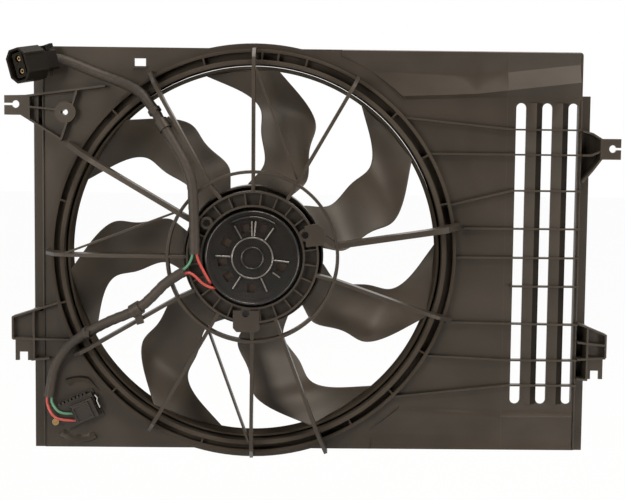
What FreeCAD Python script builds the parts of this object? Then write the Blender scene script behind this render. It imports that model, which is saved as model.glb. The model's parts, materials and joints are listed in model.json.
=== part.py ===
import FreeCAD, Part
import math
import os

# Radiator cooling fan: a moulded shroud with a vent grille, an electric motor on
# eleven fins, and a banded seven-blade fan. Millimetres. X is right, Z is up and
# Y points at the radiator. The origin lies on the fan axis in the sealing plane,
# so every piece has a Y of 0 or less and the motor faces -Y.

V = FreeCAD.Vector
AXIS = V(0, 1, 0)

# General walls and clearances
WALL = 2.5
SEAT_GAP = 0.3
FIT = 0.03
RUNNING_FIT = 0.05

# Shroud panel and its sealing rim
PANEL_FRONT = -24.0
PANEL_LEFT = -244.0
PANEL_RIGHT = 380.0
PANEL_TOP = 236.0
PANEL_CORNER_R = 4.0
EDGE_STRIP = 3.5
PANEL_BOTTOM = -232.0
BULGE_R = 242.0
GRILLE_LEFT = 293.0
FLANGE_FRONT = -8.0
FLANGE_LEFT = -258.5
FLANGE_RIGHT = 393.0
FLANGE_TOP = 186.0
FLANGE_TOP_LEFT = 202.0
FLANGE_BOTTOM = -235.5

# Barrel round the fan
BARREL_BORE_R = 217.0
BARREL_LIP_FRONT = -50.0
BARREL_LIP_WIDTH = 5.0
BARREL_LIP_DEPTH = 6.0
LIP_WALL = 1.8
BARREL_REAR = -8.0
POCKET_WIDTH = 9.0
POCKET_WALL = 4.0
POCKET_WALL_FRONT = -36.0
PANEL_LAP = 6.0
POCKET_WEB = 2.0
POCKET_WEB_ANGLES = (15, 30, 45, 60, 75, 83.3, 88, 105, 120, 135, 150, 165, 180, 195,
                     210, 225, 240, 255, 270, 290.3, 300, 315, 330, 342)

# Vent grille
SLOT_WIDTH = 11.7
SLOT_PITCH = 30.4
SLOT_COUNT = 3
FIRST_SLOT_X = 309.0
SLOT_TOP = 177.0
SLOT_BOTTOM = -176.5
LOUVRE_CREST = 0.62
LOUVRE_RISE = 3.6
RIB_WIDTH = 2.0
RIB_HEIGHT = 7.0
RIB_LINES = (
    ((150.0, 160.9), (299.4, 146.2), (PANEL_RIGHT, 146.2)),
    ((190.0, 117.2), (PANEL_RIGHT, 117.2)),
    ((205.0, 52.4), (299.9, 75.3), (PANEL_RIGHT, 75.3)),
    ((244.0, 30.9), (PANEL_RIGHT, 30.9)),
    ((225.0, -3.1), (PANEL_RIGHT, -3.1)),
    ((300.0, -36.6), (PANEL_RIGHT, -36.6)),
    ((225.0, -79.6), (PANEL_RIGHT, -81.6)),
    ((190.0, -118.5), (300.0, -123.8), (PANEL_RIGHT, -123.8)),
    ((150.0, -169.6), (300.5, -153.6), (PANEL_RIGHT, -153.6)),
)

# Motor support: a hoop, a channel ring and eleven fins
SUPPORT_FRONT = -90.0
HOOP_R = 95.6
HOOP_WIDTH = 3.5
HOOP_DEPTH = 16.0
RING_INNER_R = 56.5
RING_OUTER_R = 74.5
RING_WALL = 2.2
RING_DEPTH = 20.0
RING_FLOOR_FRONT = -79.0
RING_FLOOR_THICK = 3.0
RING_RIB_COUNT = 24
RING_RIB_WIDTH = 1.6
SCREW_CIRCLE_R = 64.0
SCREW_ANGLES = (23.5, 143.5, 263.5)
FIN_WIDTH = 3.8
FIN_REAR = -68.0
# foot angle, reach beyond the barrel, hoop angle, ring angle, width
FINS = (
    (90.2, 2.5, 90.0, 90.0, FIN_WIDTH),
    (59.8, 3.0, 59.4, 59.4, FIN_WIDTH),
    (8.2, 8.0, 8.1, 25.0, 6.5),
    (-18.1, 9.5, -15.6, -15.6, FIN_WIDTH),
    (-69.7, 15.0, -69.7, -69.6, FIN_WIDTH),
    (-90.2, 5.0, -90.0, -90.0, FIN_WIDTH),
    (-120.2, 6.5, -120.5, -121.0, FIN_WIDTH),
    (-150.0, 6.0, -150.8, -149.5, FIN_WIDTH),
    (180.0, 5.5, 180.0, 180.0, FIN_WIDTH),
    (149.8, 14.5, 149.6, 149.4, 5.5),
    (120.1, 6.0, 121.0, 119.0, FIN_WIDTH),
)
BRACE_WIDTH = 2.2
BRACES = (
    ((1.5, 212.0), (50.5, 84.0)),
    ((-3.5, -212.0), (-50.0, -83.0)),
    ((-212.0, 1.5), (-83.4, 50.5)),
)

# Corner brackets
HANGER_FRONT = -36.0
HANGER_THICK = 5.0
HANGER_HOLE_R = 4.4
HANGER_SLOT_WIDTH = 2.6
LEFT_HANGER = (-274.2, 169.1)
RIGHT_HANGER = (414.4, 125.0)
BOSS_CENTRE = (-217.6, 160.5)
BOSS_R = 12.0
BOSS_HOLE_R = 3.3
BRACKET_WALL = 2.2
FOOT_NOTCH_WIDTH = 9.8
FOOT_NOTCH_DEPTH = 10.0
FOOT_THICK = 4.0

# Fan
RUNNING_GAP = 2.5
FAN_RING_WALL = 2.5
FAN_RING_FRONT = -40.0
FAN_RING_REAR = -7.0
FAN_FLANGE_REACH = 1.25
FAN_FLANGE_THICK = 2.0
HUB_R = 80.0
HUB_WALL = 2.5
HUB_FRONT = -64.0
HUB_DISC_FRONT = -31.0
HUB_DISC_THICK = 3.0
HUB_EDGE_R = 2.0
HUB_BOSS_R = 13.0
HUB_BOSS_FRONT = -34.0
HUB_BOSS_REAR = -22.0
HUB_RIB_COUNT = 14
HUB_RIB_WIDTH = 2.0
INSERT_R = 8.0
BLADE_COUNT = 7
BLADE_CAMBER = 3.5
BLADE_EDGE_THICK = 1.3
# radius, clockwise edge angle, anticlockwise edge angle, their depths, thickness
BLADE_STATIONS = (
    (76.0, 58.5, 97.5, -59.0, -32.5, 3.4),
    (83.0, 57.0, 94.0, -58.0, -31.5, 3.4),
    (92.0, 55.2, 87.5, -55.5, -29.0, 3.2),
    (103.0, 53.6, 83.4, -51.5, -25.0, 3.0),
    (115.0, 56.6, 84.2, -47.0, -20.5, 2.9),
    (127.0, 60.6, 86.0, -43.5, -16.5, 2.8),
    (141.0, 63.1, 87.6, -41.0, -13.5, 2.7),
    (157.0, 63.3, 87.2, -40.0, -11.5, 2.6),
    (168.0, 64.9, 87.8, -39.5, -11.0, 2.5),
    (179.0, 69.0, 90.9, -39.0, -10.5, 2.4),
    (190.0, 74.0, 96.0, -38.5, -10.0, 2.3),
    (201.0, 78.8, 101.5, -38.0, -10.0, 2.3),
    (215.0, 83.6, 107.0, -37.5, -10.0, 2.3),
)

# Motor
CAP_R = 53.0
CAP_FRONT = -95.0
CAP_THICK = 3.0
CAP_REAR = -88.0
CAP_BOSS_R = 23.6
CAP_BOSS_FRONT = -98.0
CAP_WINDOW_ANGLES = (72, 104, 150, 188, 218, 268, 342)
CAP_RIB_ANGLES = (177, 119, 91.0, 85.0, 55, -6, -66, -122)
CAP_SHORT_RIB_ANGLE = -35
CAP_RIB_WIDTH = 2.0
CAP_RIB_RISE = 1.8
CAP_ARC_R = 46.5
CAP_ARC_SPAN = (55, 122)
CAN_WALL = 2.5
CAN_REAR = -41.5
NOSE_R = 15.0
NOSE_REAR = -35.5
EAR_THICK = 3.0
EAR_R = 7.0
SCREW_R = 2.5
SCREW_HEAD_R = 3.8
SCREW_HEAD_DEPTH = 3.2
SCREW_HEAD_FRONT = -87.0
SHAFT_R = 4.0
SHAFT_FRONT = -96.0
SHAFT_REAR = -12.5
BEARING_R = 11.0
BEARING_WIDTH = 7.0
BEARING_RACE = 2.4
CORE_R = 39.2
CORE_FRONT = -68.0
CORE_REAR = -52.0
CORE_SLOTS = 12
MAGNET_COUNT = 4
MAGNET_THICK = 9.5
COMMUTATOR_R = 11.8
COMMUTATOR_FRONT = -85.0
COMMUTATOR_REAR = -76.0
CARD_FRONT = -88.0
CARD_THICK = 2.0
CARD_BORE_R = 15.0
BRUSH_COUNT = 4
BRUSH_LENGTH = 10.0
BRUSH_WIDTH = 5.0
BRUSH_DEPTH = 6.0
NUT_FLATS = 13.0
NUT_THICK = 6.0
WASHER_R = 11.0
WASHER_THICK = 1.6

# Panel details
FACET_GAP = 8.5
# place across, upper edge, crest, lower edge, rise of the crest
FACETS = (
    ((100.0, 235.9, 234.9, 214.5, 2.5), (256.0, 235.9, 234.9, 207.8, 4.5),
     (PANEL_RIGHT, 235.9, 234.9, 222.4, 4.5)),
    ((112.0, 214.0, 181.0, 177.0, 4.0), (256.0, 207.8, 187.0, 182.5, 6.0),
     (PANEL_RIGHT, 222.4, 201.5, 184.7, 9.0)),
    ((140.0, -178.0, -184.0, -214.7, 2.5), (303.7, -184.5, -192.0, -214.2, 3.5),
     (PANEL_RIGHT, -184.0, -191.3, -213.8, 3.5)),
    ((140.0, -214.7, -231.0, -231.9, 2.5), (303.7, -214.2, -231.0, -231.9, 4.0),
     (PANEL_RIGHT, -213.8, -231.0, -231.9, 4.0)),
)
CLIP_HOLE = (-139.2, -126.2, 214.5, 223.3)

# Wiring
LOOM_R = 6.0
WIRE_R = 1.55
UPPER_LOOM_ROUTE = (
    (-214.0, -31.0, 218.5), (-200.0, -31.0, 213.0), (-186.0, -31.0, 207.0), (-165.0, -33.5, 199.5),
    (-146.0, -44.0, 192.5), (-129.0, -57.5, 183.5), (-116.5, -67.0, 170.0), (-106.5, -73.5, 154.5),
    (-96.0, -80.0, 138.5), (-85.0, -87.0, 121.0), (-74.5, -94.5, 104.0), (-67.0, -97.5, 84.0),
    (-65.5, -97.5, 58.0), (-64.5, -97.5, 30.0), (-64.3, -97.5, 4.0),
)
LOWER_LOOM_ROUTE = (
    (-76.0, -97.5, -16.0), (-94.0, -97.4, -26.0), (-108.0, -95.5, -41.0), (-121.5, -91.5, -54.5),
    (-138.0, -86.5, -65.0), (-158.0, -79.5, -73.0), (-178.0, -69.5, -84.0), (-199.0, -59.5, -97.0),
    (-217.0, -44.0, -112.0), (-229.5, -34.0, -130.5), (-235.5, -31.0, -150.5), (-238.0, -30.8, -171.0),
)
WIRE_OFFSET = 2.6
WIRE_STRAIGHT = 5.0
RED_SUPPLY_TURN = (-51.5, -98.6, -19.5)
RED_SUPPLY_DIVE = 212.5
RED_RETURN_TURNS = ((-62.5, -98.6, -21.5), (-54.5, -98.8, -30.0))
RED_RETURN_DIVE = 219.5
WIRE_DIVE_FRONT = -97.0
RESISTOR_RED_TURNS = ((-239.0, -33.5, -183.5), (-233.5, -36.0, -193.0), (-223.5, -37.3, -198.0),
                      (-203.0, -37.5, -197.8))
RESISTOR_GREEN_TURNS = ((-232.5, -35.0, -181.5), (-226.5, -36.8, -188.2), (-217.0, -37.3, -190.3),
                        (-200.0, -37.5, -189.0))
GROMMET_FRONT = -84.0
GROMMET_DEPTH = 6.0
CLIP_WALL = 1.7
CLIP_LENGTH = 12.0
UPPER_CLIP_RUN = 9
UPPER_CLIP_FOOT = (-92.5, 153.5)
LOWER_CLIP_RUN = 3
LOWER_CLIP_FOOT = (-125.0, -76.0)
TIE_WIDTH = 4.5
TIE_THICK = 1.2
UPPER_TIE_RUN = 8
LOWER_TIE_RUN = 6

# Harness connector, in its own axes: X from mouth to cable, Z up
CONNECTOR_CENTRE = (-246.5, -62.0, 215.5)
CONNECTOR_TILT = 15.0
CONNECTOR_YAW = 55.0
SHELL_FRONT = -28.0
SHELL_REAR = 4.0
SHELL_TOP = 18.0
SHELL_BOTTOM = -20.0
SHELL_HALF_DEPTH = 15.0
SHELL_CHAMFER = 8.0
SHELL_WALL = 2.4
MOUTH_DEPTH = 12.0
MOUTH_CHAMFER = 6.5
TOWER_HALF_DEPTH = 7.5
TOWER_TOP = 13.0
TOWER_BOTTOM = -14.5
TOWER_RECESS = 3.0
SOCKET_R = 4.0
SOCKET_HEIGHTS = (-7.8, 6.3)
TAIL_REAR = 27.0
TAIL_TOP = 11.0
TAIL_BOTTOM = -12.0
TAIL_HALF_DEPTH = 9.5
SEAL_R = 8.6
SEAL_LENGTH = 2.8
LATCH_PIVOT = (15.0, 14.6)
LATCH_PIN_R = 1.2
LATCH_HALF_DEPTH = 7.0
LATCH_FRONT = 5.2
LATCH_REAR = 27.5
LATCH_BOTTOM = 13.2
LATCH_TOP = 16.4
TERMINAL_WIDTH = 2.8

# Resistor, in its own axes: X along its long side
RESISTOR_CENTRE = (-203.0, -187.0)
RESISTOR_TILT = 24.0
RESISTOR_LENGTH = 47.0
RESISTOR_HEIGHT = 35.0
RESISTOR_BASE = 2.5
RESISTOR_STEP_FRONT = -33.5
PLUG_FRONT = -44.0
RESISTOR_CORE = (30.0, 12.0)
RESISTOR_HOLE_GAP = 1.0
RESISTOR_SCREW = (-231.4, -201.6)
RESISTOR_SCREW_R = 4.0
DISH_R = 38.0
DISH_SLOPE = 8.0
DISH_RISE = 5.0
DISH_EDGE = 2.0
DISH_ARCS = ((45.0, 115.0), (232.0, 300.0))


def polar(radius, degrees, y=0.0):
    """A point at a radius and angle round the fan axis."""
    turn = math.radians(degrees)
    return V(radius * math.cos(turn), y, radius * math.sin(turn))


def disc(radius, front, rear, x=0.0, z=0.0):
    """A solid round along Y."""
    return Part.makeCylinder(radius, rear - front, V(x, front, z), AXIS)


def collar(outer_r, inner_r, front, rear, x=0.0, z=0.0):
    """A plain ring along Y."""
    return disc(outer_r, front, rear, x, z).cut(disc(inner_r, front - 1, rear + 1, x, z))


def plate(corners, front, rear):
    """A straight-sided outline in X and Z, extruded along Y."""
    points = [V(x, front, z) for x, z in corners]
    face = Part.Face(Part.makePolygon(points + points[:1]))
    return face.extrude(V(0, rear - front, 0))


def block(x0, x1, z0, z1, front, rear):
    """A box given by its limits."""
    return Part.makeBox(x1 - x0, rear - front, z1 - z0, V(x0, front, z0))


def wall(path, width, front, rear):
    """An upright wall of one width along a path in X and Z, round at its corners."""
    pieces = []
    for (x0, z0), (x1, z1) in zip(path, path[1:]):
        length = math.hypot(x1 - x0, z1 - z0)
        side_x = -(z1 - z0) / length * width / 2
        side_z = (x1 - x0) / length * width / 2
        pieces.append(plate(((x0 + side_x, z0 + side_z), (x1 + side_x, z1 + side_z),
                             (x1 - side_x, z1 - side_z), (x0 - side_x, z0 - side_z)), front, rear))
    for x, z in path[1:-1]:
        pieces.append(disc(width / 2, front, rear, x, z))
    return join(pieces)


def join(pieces):
    """All the pieces as one shape."""
    pieces = list(pieces)
    if len(pieces) == 1:
        return pieces[0]
    return pieces[0].multiFuse(pieces[1:]).removeSplitter()


def around(shape, count, start=0.0):
    """Copies of a shape, evenly spaced round the fan axis."""
    return [turned(shape, start + i * 360.0 / count) for i in range(count)]


def turned(shape, degrees):
    """A copy turned round the fan axis, anticlockwise as the motor side is seen."""
    copy = shape.copy()
    copy.rotate(V(0, 0, 0), AXIS, -degrees)
    return copy


def spun(profile):
    """A closed outline of radius and depth, turned once round the fan axis."""
    points = [V(radius, y, 0) for radius, y in profile]
    face = Part.Face(Part.makePolygon(points + points[:1]))
    return face.revolve(V(0, 0, 0), AXIS, 360)


def group(pieces):
    """Separate solids that share one node."""
    return Part.makeCompound([solid for piece in pieces for solid in piece.Solids])


def tray(inset, front, rear):
    """The panel's outline with its round bulges, drawn in by an inset."""
    right = PANEL_RIGHT - inset
    top = PANEL_TOP - inset
    base = block(PANEL_LEFT + inset, right, PANEL_BOTTOM + inset, top, front, rear)
    corner = [e for e in base.Edges if e.BoundBox.XMin > right - 0.1 and e.BoundBox.ZMin > top - 0.1]
    base = base.makeFillet(PANEL_CORNER_R - inset, corner)
    return base.fuse(disc(BULGE_R - inset, front, rear)).removeSplitter()


def flanges(inset, front, rear):
    """The strips that stand out at the panel's two sides, drawn in by an inset."""
    bottom = FLANGE_BOTTOM + inset
    top = FLANGE_TOP - inset
    left = block(FLANGE_LEFT + inset, PANEL_LEFT + 2 * WALL, bottom, FLANGE_TOP_LEFT - inset, front, rear)
    right = block(PANEL_RIGHT - 2 * WALL, FLANGE_RIGHT - inset, bottom, top, front, rear)
    return left, right


def slot_cutter(centre_x):
    """One vent slot with round ends."""
    radius = SLOT_WIDTH / 2
    front = PANEL_FRONT - 1
    rear = PANEL_FRONT + WALL + 1
    low = SLOT_BOTTOM + radius
    high = SLOT_TOP - radius
    straight = block(centre_x - radius, centre_x + radius, low, high, front, rear)
    return straight.fuse([disc(radius, front, rear, centre_x, low), disc(radius, front, rear, centre_x, high)])


def louvre(index):
    """Low ridge on the bar to the right of one slot, steep on its right side."""
    left = FIRST_SLOT_X + index * SLOT_PITCH + SLOT_WIDTH / 2
    width = SLOT_PITCH - SLOT_WIDTH
    corners = [V(left, PANEL_FRONT, SLOT_BOTTOM), V(left + width, PANEL_FRONT, SLOT_BOTTOM),
               V(left + width * LOUVRE_CREST, PANEL_FRONT - LOUVRE_RISE, SLOT_BOTTOM)]
    face = Part.Face(Part.makePolygon(corners + corners[:1]))
    return face.extrude(V(0, 0, SLOT_TOP - SLOT_BOTTOM))


def rib_walls():
    """The stiffening ribs in front of the panel."""
    front = PANEL_FRONT - RIB_HEIGHT
    return join(wall(line, RIB_WIDTH, front, PANEL_FRONT) for line in RIB_LINES)


def barrel_outer_r():
    """Outer radius of the barrel's pocket wall."""
    return BARREL_BORE_R + BARREL_LIP_WIDTH + POCKET_WIDTH + POCKET_WALL


def shroud_panel():
    """Front panel left of the grille, with the barrel's hole."""
    rear = PANEL_FRONT + WALL
    sheet = tray(0, PANEL_FRONT, rear)
    sheet = sheet.cut(block(GRILLE_LEFT, PANEL_RIGHT + 1, PANEL_BOTTOM - 20, PANEL_TOP + 20,
                            PANEL_FRONT - 1, rear + 1))
    sheet = sheet.cut(disc(barrel_outer_r() - PANEL_LAP, PANEL_FRONT - 1, rear + 1))
    sheet = sheet.cut(disc(BOSS_HOLE_R + 1.5, PANEL_FRONT - 1, rear + 1, *BOSS_CENTRE))
    x0, x1, z0, z1 = CLIP_HOLE
    sheet = sheet.cut(block(x0, x1, z0, z1, PANEL_FRONT - 1, rear + 1))
    sheet = sheet.cut(resistor_hole())
    screw_x, screw_z = RESISTOR_SCREW
    sheet = sheet.cut(disc(1.75, PANEL_FRONT - 1, rear + 1, screw_x, screw_z))
    clip_lip = block(x0 - 1, x1 + 1, z0 - 2.5, z0 - 0.5, PANEL_FRONT - 3, PANEL_FRONT)
    facets = [facet(sections).common(block(0, GRILLE_LEFT, -300, 300, -60, 0)) for sections in FACETS]
    ribs = rib_walls().common(block(0, GRILLE_LEFT, PANEL_BOTTOM, PANEL_TOP, -60, 0))
    ribs = ribs.cut(disc(barrel_outer_r(), -60, 0))
    return join([sheet, ribs, clip_lip] + facets + resistor_dish())


def vent_grille():
    """Slotted right-hand part of the panel, with its ribs across the slots."""
    rear = PANEL_FRONT + WALL
    sheet = tray(0, PANEL_FRONT, rear)
    sheet = sheet.common(block(GRILLE_LEFT, PANEL_RIGHT, PANEL_BOTTOM, PANEL_TOP, -60, 0))
    for i in range(SLOT_COUNT):
        sheet = sheet.cut(slot_cutter(FIRST_SLOT_X + i * SLOT_PITCH))
    front = PANEL_FRONT - RIB_HEIGHT
    ribs = join(wall(line, RIB_WIDTH, front, rear) for line in RIB_LINES)
    ribs = ribs.common(block(GRILLE_LEFT, PANEL_RIGHT, PANEL_BOTTOM, PANEL_TOP, -60, 0))
    facets = [facet(sections).common(block(GRILLE_LEFT, PANEL_RIGHT - EDGE_STRIP, -300, 300, -60, 0))
              for sections in FACETS]
    louvres = [louvre(i) for i in range(SLOT_COUNT - 1)]
    return join([sheet, ribs] + facets + louvres)


def perimeter_rim():
    """Side walls, flanges and sealing edge that meet the radiator."""
    wall_front = PANEL_FRONT + WALL
    flange_rear = FLANGE_FRONT + WALL
    upper = tray(0, wall_front, FLANGE_FRONT)
    shelf = join([tray(0, FLANGE_FRONT, flange_rear)] + list(flanges(0, FLANGE_FRONT, flange_rear)))
    lower = join([tray(0, flange_rear, 0)] + list(flanges(0, flange_rear, 0)))
    hollow = join([tray(WALL, flange_rear, 1)] + list(flanges(WALL, flange_rear, 1)))
    solid = join([upper, shelf, lower])
    return solid.cut(tray(WALL, wall_front - 1, 1)).cut(hollow)


def fan_barrel():
    """Round wall close to the fan, with a lip and a row of open pockets."""
    lip_r = BARREL_BORE_R + BARREL_LIP_WIDTH
    pocket_r = lip_r + POCKET_WIDTH
    outer_r = pocket_r + POCKET_WALL
    floor_front = PANEL_FRONT - WALL
    profile = (
        (BARREL_BORE_R, BARREL_REAR), (BARREL_BORE_R, BARREL_LIP_FRONT),
        (lip_r, BARREL_LIP_FRONT), (lip_r, floor_front), (pocket_r, floor_front),
        (pocket_r, POCKET_WALL_FRONT), (outer_r, POCKET_WALL_FRONT), (outer_r, PANEL_FRONT),
        (BARREL_BORE_R + LIP_WALL, PANEL_FRONT), (BARREL_BORE_R + LIP_WALL, BARREL_REAR),
    )
    hollow = collar(lip_r - LIP_WALL, BARREL_BORE_R + LIP_WALL, BARREL_LIP_FRONT + BARREL_LIP_DEPTH,
                    PANEL_FRONT + 1)
    barrel = spun(profile).cut(hollow)
    web = block(lip_r - 0.5, pocket_r + 0.5, -POCKET_WEB / 2, POCKET_WEB / 2,
                POCKET_WALL_FRONT, floor_front + 0.5)
    return join([barrel] + [turned(web, angle) for angle in POCKET_WEB_ANGLES])


def barrel_envelope():
    """The barrel's stepped outer form, with nothing hollow."""
    lip = disc(BARREL_BORE_R + BARREL_LIP_WIDTH, BARREL_LIP_FRONT, PANEL_FRONT)
    return lip.fuse(disc(barrel_outer_r(), POCKET_WALL_FRONT, PANEL_FRONT))


def fin_solid(start, end, start_r, end_r, outline, width):
    """An upright fin between two points; the outline is radius and depth."""
    along = end - start
    scale = along.Length / (end_r - start_r)
    points = [V((radius - start_r) * scale, y, -width / 2) for radius, y in outline]
    face = Part.Face(Part.makePolygon(points + points[:1]))
    fin = face.extrude(V(0, 0, width))
    fin.rotate(V(0, 0, 0), AXIS, -math.degrees(math.atan2(along.z, along.x)))
    fin.translate(start)
    return fin


def support_fins():
    """Outer and inner stretches of the eleven fins, and the three braces."""
    hoop_out = HOOP_R + HOOP_WIDTH / 2
    hoop_in = HOOP_R - HOOP_WIDTH / 2
    lip_r = BARREL_BORE_R + BARREL_LIP_WIDTH
    foot_in = barrel_outer_r()
    outer, inner = [], []
    for foot_angle, reach, hoop_angle, ring_angle, width in FINS:
        foot_r = foot_in + reach
        outline = (
            (hoop_out - 1, SUPPORT_FRONT), (205, SUPPORT_FRONT + 7), (224, SUPPORT_FRONT + 14),
            (foot_r - 3, POCKET_WALL_FRONT - 16), (foot_r, PANEL_FRONT), (foot_in, PANEL_FRONT),
            (foot_in, POCKET_WALL_FRONT), (lip_r, POCKET_WALL_FRONT), (lip_r, BARREL_LIP_FRONT),
            (BARREL_BORE_R, BARREL_LIP_FRONT), (BARREL_BORE_R - 5, BARREL_LIP_FRONT - 5),
            (200, -60.0), (hoop_out - 1, FIN_REAR),
        )
        outer.append(fin_solid(polar(hoop_out - 1, hoop_angle), polar(foot_r, foot_angle),
                               hoop_out - 1, foot_r, outline, width))
        start = polar(RING_OUTER_R - 1, ring_angle)
        end = polar(hoop_in + 1, hoop_angle)
        span = ((0, SUPPORT_FRONT), (1, SUPPORT_FRONT), (1, SUPPORT_FRONT + RING_DEPTH),
                (0, SUPPORT_FRONT + RING_DEPTH))
        inner.append(fin_solid(start, end, 0, 1, span, width))
    clear_hoop = collar(hoop_out, hoop_in, SUPPORT_FRONT - 1, -50)
    clear_ring = disc(RING_OUTER_R, SUPPORT_FRONT - 1, -50)
    plates = boss_plates(SUPPORT_FRONT - 1, -50)
    outer = [fin.cut(disc(hoop_out, SUPPORT_FRONT - 1, -50)).cut(barrel_envelope()) for fin in outer]
    inner = [fin.cut(clear_ring).cut(clear_hoop).cut(plates) for fin in inner]
    braces = []
    for (x0, z0), (x1, z1) in BRACES:
        brace = wall(((x0, z0), (x1, z1)), BRACE_WIDTH, SUPPORT_FRONT + 8, SUPPORT_FRONT + 22)
        brace = brace.cut(disc(hoop_out, SUPPORT_FRONT - 1, -50))
        for fin in outer:
            brace = brace.cut(fin)
        braces.append(max(brace.Solids, key=lambda solid: solid.Volume))
    return outer, inner, braces


def boss_plates(front, rear):
    """Plates that widen the ring at its lower and right-hand screw bosses."""
    lower = plate(((-21.5, -60.0), (7.5, -60.0), (8.5, -82.0), (4.0, -84.5), (-17.5, -84.5),
                   (-21.5, -80.0)), front, rear)
    right = plate(((60.0, 12.0), (79.0, 14.5), (82.5, 20.0), (79.0, 33.0), (72.0, 38.5),
                   (58.0, 36.0)), front, rear)
    return join([lower, right])


def motor_mount_ring():
    """Channel ring that the motor bolts to."""
    rear = SUPPORT_FRONT + RING_DEPTH
    inner_wall = collar(RING_INNER_R + RING_WALL, RING_INNER_R, SUPPORT_FRONT, rear)
    outer_wall = collar(RING_OUTER_R, RING_OUTER_R - RING_WALL, SUPPORT_FRONT, rear)
    floor = collar(RING_OUTER_R - 1, RING_INNER_R + 1, RING_FLOOR_FRONT,
                   RING_FLOOR_FRONT + RING_FLOOR_THICK)
    rib = block(RING_INNER_R + 1, RING_OUTER_R - 1, -RING_RIB_WIDTH / 2, RING_RIB_WIDTH / 2,
                SUPPORT_FRONT + 2, RING_FLOOR_FRONT + 0.5)
    ribs = around(rib, RING_RIB_COUNT, 7.5)
    pads = boss_plates(SUPPORT_FRONT, SUPPORT_FRONT + 3)
    pads = pads.cut(disc(RING_INNER_R + 0.5, SUPPORT_FRONT - 1, rear + 1))
    bosses = []
    for angle in SCREW_ANGLES:
        centre = polar(SCREW_CIRCLE_R, angle)
        bosses.append(disc(EAR_R, SUPPORT_FRONT + 1, rear, centre.x, centre.z))
    ring = join([inner_wall, outer_wall, floor, pads] + ribs + bosses)
    ring = ring.cut(disc(RING_INNER_R, SUPPORT_FRONT - 1, rear + 1))
    for angle in SCREW_ANGLES:
        centre = polar(SCREW_CIRCLE_R, angle)
        ring = ring.cut(disc(SCREW_R + 0.2, SUPPORT_FRONT - 1, rear + 1, centre.x, centre.z))
        ring = ring.cut(disc(SCREW_HEAD_R + SEAT_GAP, SUPPORT_FRONT - 1,
                             SCREW_HEAD_FRONT + SCREW_HEAD_DEPTH, centre.x, centre.z))
    return ring


def support_hoop():
    """Slim hoop that ties the fins together."""
    return collar(HOOP_R + HOOP_WIDTH / 2, HOOP_R - HOOP_WIDTH / 2, SUPPORT_FRONT,
                  SUPPORT_FRONT + HOOP_DEPTH)


def keyhole(x, z, radius, toward, length, front, rear):
    """A round hole with a narrow slot that runs out to one side."""
    half = HANGER_SLOT_WIDTH / 2
    x0, x1 = sorted((x, x + toward * length))
    return disc(radius, front, rear, x, z).fuse(block(x0, x1, z - half, z + half, front, rear))


def upper_left_bracket():
    """Left hanger tab, its ribs and the round boss beside it."""
    x, z = LEFT_HANGER
    rear = HANGER_FRONT + HANGER_THICK
    tab = plate(((-287.0, 156.9), (-268.5, 156.9), (-258.0, 152.0), (-258.0, 179.8),
                 (-287.0, 179.0)), HANGER_FRONT, rear)
    ribs = [
        wall(((-286.0, 178.0), (-264.3, 178.4), (-171.8, 191.0)), BRACKET_WALL,
             HANGER_FRONT, FLANGE_FRONT),
        wall(((-286.0, 158.0), (-268.5, 158.0), (-221.2, 128.5), (-210.5, 123.0)), BRACKET_WALL,
             HANGER_FRONT, FLANGE_FRONT),
        wall(((-262.0, 166.5), (-228.0, 163.5)), BRACKET_WALL, HANGER_FRONT, FLANGE_FRONT),
        wall(((-204.0, 187.0), (-212.0, 160.5), (-222.3, 129.5)), BRACKET_WALL, HANGER_FRONT,
             FLANGE_FRONT),
    ]
    boss = disc(BOSS_R, HANGER_FRONT, PANEL_FRONT, *BOSS_CENTRE)
    web = plate(((-268.5, 158.0), (-268.5, 178.0), (-250.0, 179.5), (-250.0, 147.0)), PANEL_FRONT - 1,
                PANEL_FRONT - 1 + WALL)
    body = join([tab, boss, web] + ribs)
    body = body.cut(block(PANEL_LEFT, 0, 0, 300, PANEL_FRONT, 0))
    below = block(-300, FLANGE_LEFT, 100, 220, -22.0, 0)
    body = body.cut(below)
    body = body.cut(disc(barrel_outer_r(), -60, 0))
    for foot in (FINS[9], FINS[10]):
        stay = polar(barrel_outer_r() + foot[1], foot[0])
        body = body.cut(disc(foot[4] + 1.5, -60, 0, stay.x, stay.z))
    body = body.cut(keyhole(x, z, HANGER_HOLE_R, -1, 20, HANGER_FRONT - 1, rear + 1))
    body = body.cut(keyhole(*BOSS_CENTRE, BOSS_HOLE_R, -1, 6.2, HANGER_FRONT - 1, PANEL_FRONT + 1))
    return max(body.Solids, key=lambda solid: solid.Volume)


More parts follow.
